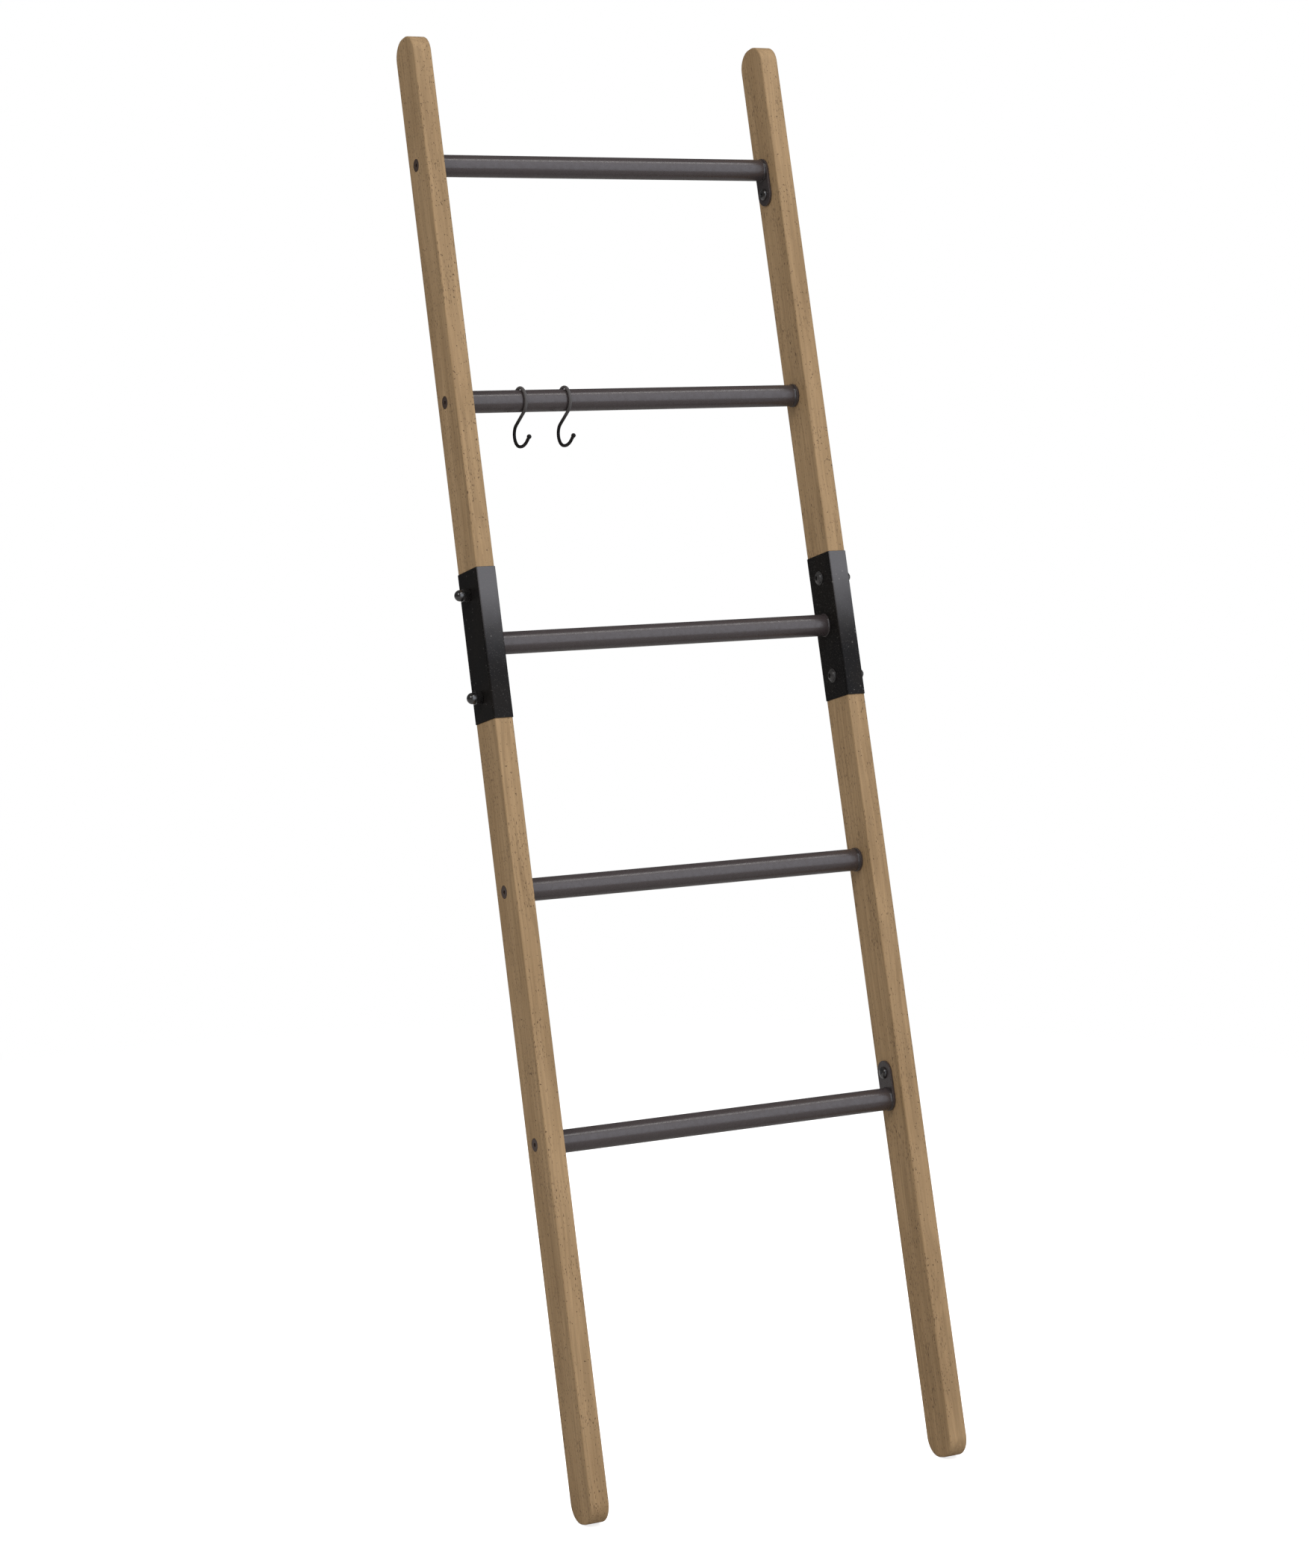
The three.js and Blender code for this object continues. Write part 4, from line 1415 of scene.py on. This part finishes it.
@dataclass
class Hooks:
    """Bent-wire S hooks that hang on the second rung, in millimetres and degrees."""

    axes: LadderAxes
    material: bpy.types.Material
    wire: float = 1.9
    upper: float = 15.0
    lower: float = 13.5
    slope: float = 47.6
    droop: float = 14.0
    flare: float = 28.0
    sweep: float = 48.0
    tip: float = 7.0
    tail: float = 4.0
    ball: float = 2.7
    hang: float = 4.13
    wire_sides: int = 20
    ball_sides: int = 24
    ball_rings: int = 16

    def wire_mesh(self) -> BMesh:
        """Bends the wire about the rung's axis, from its back end to its front tip.

        Returns:
            The hook, hanging, with the rung's axis at its origin.
        """
        drop = (self.upper + self.lower) / math.sin(math.radians(self.slope))
        leave = 180 + self.slope
        back = Vector((0, math.cos(math.radians(-self.droop)), math.sin(math.radians(-self.droop))))
        along = Vector((0, -back.z, back.y))
        start = back * self.upper - along * self.tail
        bm = bmesh.new()
        aim = along.to_track_quat("Z", "Y").to_matrix().to_4x4()
        place = Matrix.Translation(start) @ aim
        ring = bmesh.ops.create_circle(
            bm, segments=self.wire_sides, radius=self.wire, matrix=place,
        )["verts"]
        geometry = [*ring, *{e for v in ring for e in v.link_edges}]
        geometry = self._straight(bm, geometry, along, self.tail, 2)
        geometry = self._bend(bm, geometry, Vector(), 1, leave + self.droop, 56)
        shank = drop * math.cos(math.radians(self.slope))
        down = Vector((0, -math.sin(math.radians(leave)), math.cos(math.radians(leave))))
        geometry = self._straight(bm, geometry, down, shank, 6)
        geometry = self._bend(bm, geometry, Vector((0, 0, -drop)), -1, leave - 90, 34)
        rise = Vector((0, 0, self.flare - self.lower - drop))
        geometry = self._bend(bm, geometry, rise, -1, self.sweep, 16)
        out = Vector((0, -math.cos(math.radians(self.sweep)), math.sin(math.radians(self.sweep))))
        geometry = self._straight(bm, geometry, out, self.tip, 2)
        last = [v for v in geometry if isinstance(v, bmesh.types.BMVert)]
        end = sum((v.co for v in last), Vector()) / len(last)
        bmesh.ops.holes_fill(bm, edges=[e for e in bm.edges if len(e.link_faces) == 1], sides=0)
        clean(bm)
        balls = []
        for spot in (start, end):
            sphere = bmesh.new()
            bmesh.ops.create_uvsphere(
                sphere, u_segments=self.ball_sides, v_segments=self.ball_rings, radius=self.ball,
                matrix=Matrix.Translation(spot) @ Matrix.Rotation(math.pi / 2, 4, "Y"),
            )
            balls.append(sphere)
        bm = combined(bm, balls, Boolean.JOIN)
        turn = Matrix.Rotation(math.radians(self.hang), 3, "X")
        bmesh.ops.rotate(bm, cent=(0, 0, 0), matrix=turn, verts=bm.verts)
        return bm

    def _bend(
        self, bm: BMesh, geometry: List[Any], centre: Vector, way: int, angle: float, steps: int,
    ) -> List[Any]:
        """Spins the open end of the wire round a centre.

        Args:
            bm: The wire so far.
            geometry: The edges and vertices of its open end.
            centre: The centre of the bend.
            way: 1 or -1, for the way that it turns about X.
            angle: How far it turns, in degrees.
            steps: Steps of the bend.

        Returns:
            The edges and vertices of the new open end.
        """
        made = bmesh.ops.spin(
            bm, geom=geometry, cent=centre, axis=(way, 0, 0), dvec=(0, 0, 0),
            angle=math.radians(angle), steps=steps, use_merge=False, use_duplicate=False,
        )
        return made["geom_last"]

    def _straight(
        self, bm: BMesh, geometry: List[Any], way: Vector, length: float, steps: int,
    ) -> List[Any]:
        """Extrudes the open end of the wire.

        Args:
            bm: The wire so far.
            geometry: The edges and vertices of its open end.
            way: The direction, of length 1.
            length: How far it goes, in millimetres.
            steps: Steps along it.

        Returns:
            The edges and vertices of the new open end.
        """
        for _ in range(steps):
            edges = [e for e in geometry if isinstance(e, bmesh.types.BMEdge)]
            made = bmesh.ops.extrude_edge_only(bm, edges=edges)["geom"]
            geometry = [g for g in made if not isinstance(g, bmesh.types.BMFace)]
            verts = [v for v in geometry if isinstance(v, bmesh.types.BMVert)]
            bmesh.ops.translate(bm, vec=way * (length / steps), verts=verts)
        return geometry

    def build(self) -> List[bpy.types.Object]:
        """Builds both hooks, each on its own body."""
        rung_low, rung_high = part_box("rung_2")
        axis = (rung_low + rung_high) / 2
        made = []
        for node, body in (("hook_left", "left_hook"), ("hook_right", "right_hook")):
            low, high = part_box(node)
            place = Matrix.Translation(((low.x + high.x) / 2, axis.y, axis.z)) @ Matrix.Scale(MM, 4)
            made.append(finished(self.wire_mesh(), node, place, self.material, body, 50))
        return made


# ---- Studio -------------------------------------------------------------------------------------


@dataclass
class Studio:
    """A pale floor, soft lights and the camera, in metres and degrees."""

    camera_place: Tuple[float, float, float] = (-1.8380, -3.4250, 1.3441)
    camera_yaw: float = 27.64
    camera_pitch: float = -5.49
    lens: float = 79.14
    shift: Tuple[float, float] = (0.0063, -0.120)
    aim_height: float = 0.9
    floor_radius: float = 4.5
    floor_fade: Point = (0.7, 2.2)
    floor_lift: float = 0.72
    key_azimuth: float = 30.0
    key_elevation: float = 62.0
    key_distance: float = 24.0
    key_size: Point = (27.0, 4.2)
    key_radiance: float = 4.0
    fill_azimuth: float = -65.0
    fill_elevation: float = 38.0
    fill_distance: float = 16.0
    fill_size: Point = (5.2, 5.2)
    fill_radiance: float = 5.0
    wall_azimuth: Point = (-15.0, 75.0)
    wall_elevation: Point = (-32.0, 50.0)
    wall_azimuth_soft: float = 14.0
    wall_elevation_soft: float = 5.0
    wall_spread: float = 0.74
    wall_gloss: float = 1.5
    around: float = 0.54
    mirrored: float = 0.10

    def camera(self) -> None:
        """Makes the camera."""
        data = bpy.data.cameras.new("camera")
        data.lens = self.lens
        data.sensor_width = 36
        data.sensor_fit = "AUTO"
        data.shift_x, data.shift_y = self.shift
        data.clip_end = 60
        camera = bpy.data.objects.new("camera", data)
        camera.location = self.camera_place
        turn = (math.radians(90 + self.camera_pitch), 0, -math.radians(self.camera_yaw))
        camera.rotation_euler = turn
        bpy.context.scene.collection.objects.link(camera)
        bpy.context.scene.camera = camera

    def area(
        self, name: str, azimuth: float, elevation: float, distance: float, size: Point,
        radiance: float,
    ) -> None:
        """Makes a rectangular soft light that points at the middle of the object.

        Args:
            name: The light's name.
            azimuth: Its direction from the front towards the right, in degrees.
            elevation: Its angle above the horizon, in degrees.
            distance: Its distance from the object's middle.
            size: Its width and height.
            radiance: Its brightness.
        """
        turn, rise = math.radians(azimuth), math.radians(elevation)
        way = Vector((math.cos(rise) * math.sin(turn), -math.cos(rise) * math.cos(turn), math.sin(rise)))
        data = bpy.data.lights.new(name, "AREA")
        data.shape = "RECTANGLE"
        data.size, data.size_y = size
        data.energy = radiance * math.pi * size[0] * size[1]
        data.color = (1, 0.99, 0.98)
        light = bpy.data.objects.new(name, data)
        light.location = Vector((0, 0, self.aim_height)) + way * distance
        light.rotation_euler = way.to_track_quat("Z", "Y").to_euler()
        light.visible_camera = False
        bpy.context.scene.collection.objects.link(light)

    def lights(self) -> None:
        """Makes the long soft key light above the front and the fill on the left."""
        self.area(
            "key", self.key_azimuth, self.key_elevation, self.key_distance, self.key_size,
            self.key_radiance,
        )
        self.area(
            "fill", self.fill_azimuth, self.fill_elevation, self.fill_distance, self.fill_size,
            self.fill_radiance,
        )

    def window(self, tree: Tree, value: Any, span: Point, soft: float) -> Any:
        """A mask that is 1 between two angles.

        Args:
            tree: The tree.
            value: An angle in radians.
            span: The lowest and the highest angle, in degrees.
            soft: Half the width of the soft edges, in degrees.

        Returns:
            The mask.
        """
        low, high, edge = (math.radians(angle) for angle in (*span, soft))
        rising = tree.between(value, low - edge, low + edge)
        falling = tree.between(value, high - edge, high + edge, 1.0, 0.0)
        return tree.math("MULTIPLY", rising, falling)

    def world(self) -> None:
        """Makes a white backdrop with a broad pale wall in front of the object."""
        world = bpy.data.worlds.new("studio")
        world.use_nodes = True
        world.node_tree.nodes.clear()
        tree = Tree(world.node_tree)
        path = tree.node("LightPath").outputs
        way = tree.node("SeparateXYZ", {0: tree.node("TexCoord").outputs["Generated"]}).outputs
        elevation = tree.math("ARCSINE", way["Z"])
        azimuth = tree.math("ARCTAN2", way["X"], tree.math("MULTIPLY", way["Y"], -1.0))
        wall = tree.math(
            "MULTIPLY", self.window(tree, azimuth, self.wall_azimuth, self.wall_azimuth_soft),
            self.window(tree, elevation, self.wall_elevation, self.wall_elevation_soft),
        )
        gloss = tree.math("MULTIPLY", path["Is Glossy Ray"], self.wall_gloss - self.wall_spread)
        wall = tree.math("MULTIPLY", wall, tree.math("ADD", gloss, self.wall_spread))
        panel = tree.node("Background", {"Color": (0.94, 0.98, 1.08, 1), "Strength": wall})
        seen = tree.node("Background", {"Color": (1, 1, 1, 1), "Strength": 1.0})
        spread = tree.node("Background", {"Color": (1, 0.99, 0.98, 1), "Strength": self.around})
        mirror = tree.node("Background", {"Color": (1, 1, 1, 1), "Strength": self.mirrored})
        inner = tree.node("MixShader", {0: path["Is Glossy Ray"], 1: spread.outputs[0], 2: mirror.outputs[0]})
        lit = tree.node("AddShader", {0: inner.outputs[0], 1: panel.outputs[0]})
        outer = tree.node("MixShader", {0: path["Is Camera Ray"], 1: lit.outputs[0], 2: seen.outputs[0]})
        tree.node("OutputWorld", {"Surface": outer.outputs[0]})
        bpy.context.scene.world = world

    def floor(self) -> None:
        """Makes a pale floor that runs out to white."""
        bm = bmesh.new()
        bmesh.ops.create_circle(bm, cap_ends=True, segments=96, radius=self.floor_radius)
        mesh = bpy.data.meshes.new("floor")
        bm.to_mesh(mesh)
        bm.free()
        material = bpy.data.materials.new("pale_floor")
        material.use_nodes = True
        material.node_tree.nodes.clear()
        tree = Tree(material.node_tree)
        path = tree.node("LightPath").outputs
        place = tree.node("TexCoord").outputs["Object"]
        distance = tree.node("VectorMath", {0: place}, operation="LENGTH").outputs["Value"]
        away = tree.between(distance, *self.floor_fade)
        matt = tree.node("BsdfDiffuse", {"Color": (0.9, 0.9, 0.9, 1)})
        lift = tree.node("Emission", {"Color": (1, 1, 1, 1), "Strength": self.floor_lift})
        near = tree.node("AddShader", {0: matt.outputs[0], 1: lift.outputs[0]})
        white = tree.node("Emission", {"Color": (1, 1, 1, 1), "Strength": 1.0})
        seen = tree.node("MixShader", {0: away, 1: near.outputs[0], 2: white.outputs[0]})
        grey = tree.node("BsdfDiffuse", {"Color": (0.44, 0.43, 0.42, 1)})
        whole = tree.node("MixShader", {0: path["Is Camera Ray"], 1: grey.outputs[0], 2: seen.outputs[0]})
        tree.node("OutputMaterial", {"Surface": whole.outputs[0]})
        mesh.materials.append(material)
        floor = bpy.data.objects.new("floor", mesh)
        bpy.context.scene.collection.objects.link(floor)

    def build(self) -> None:
        """Makes the whole studio."""
        self.camera()
        self.lights()
        self.world()
        self.floor()
        scene = bpy.context.scene
        scene.view_settings.view_transform = "Standard"
        scene.view_settings.look = "None"


def dress_bushes(material: bpy.types.Material) -> None:
    """Gives the threaded bushes inside the tubes their own finish.

    Args:
        material: The turned steel.
    """
    for name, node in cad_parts.items():
        if name.endswith("_bush"):
            node.material_slots[0].link = "OBJECT"
            node.material_slots[0].material = material
            LOG.info("%s: %s", name, material.name)


def main() -> None:
    """Builds the studio and every sub-assembly."""
    logging.basicConfig(level=logging.INFO, format="%(name)s %(message)s")
    Studio().build()
    axes = LadderAxes.from_frame()
    effects = Effects()
    hammered_paint = HammeredPaint().material("hammered_paint", effects)
    sparkle_coat = SparkleCoat().material("sparkle_coat", effects, axes)
    black = DarkEnamel().material("black_enamel", effects)
    bronze_enamel = DarkEnamel(
        base=(0.060, 0.038, 0.030), thin=(0.085, 0.058, 0.047), roughness=0.4, coat=0.1, gloss=0.3,
    )
    grey_enamel = DarkEnamel(
        base=(0.036, 0.034, 0.034), thin=(0.075, 0.070, 0.068), roughness=0.3, coat=0.4, gloss=0.5,
    )
    bronze = bronze_enamel.material("bronze_enamel", effects)
    grey = grey_enamel.material("grey_enamel", effects)
    loop = sum(corner.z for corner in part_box("rung_2")) / 2
    hook_paint = HookPaint().material("hook_paint", effects, loop)
    Rails(axes, effects).build()
    Sleeves(axes, sparkle_coat).build()
    Rungs(axes, hammered_paint).build()
    Fasteners(axes, black, bronze, grey).build()
    Hooks(axes, hook_paint).build()
    dress_bushes(TurnedSteel().material("turned_steel", effects))


if __name__ == "__main__":
    main()
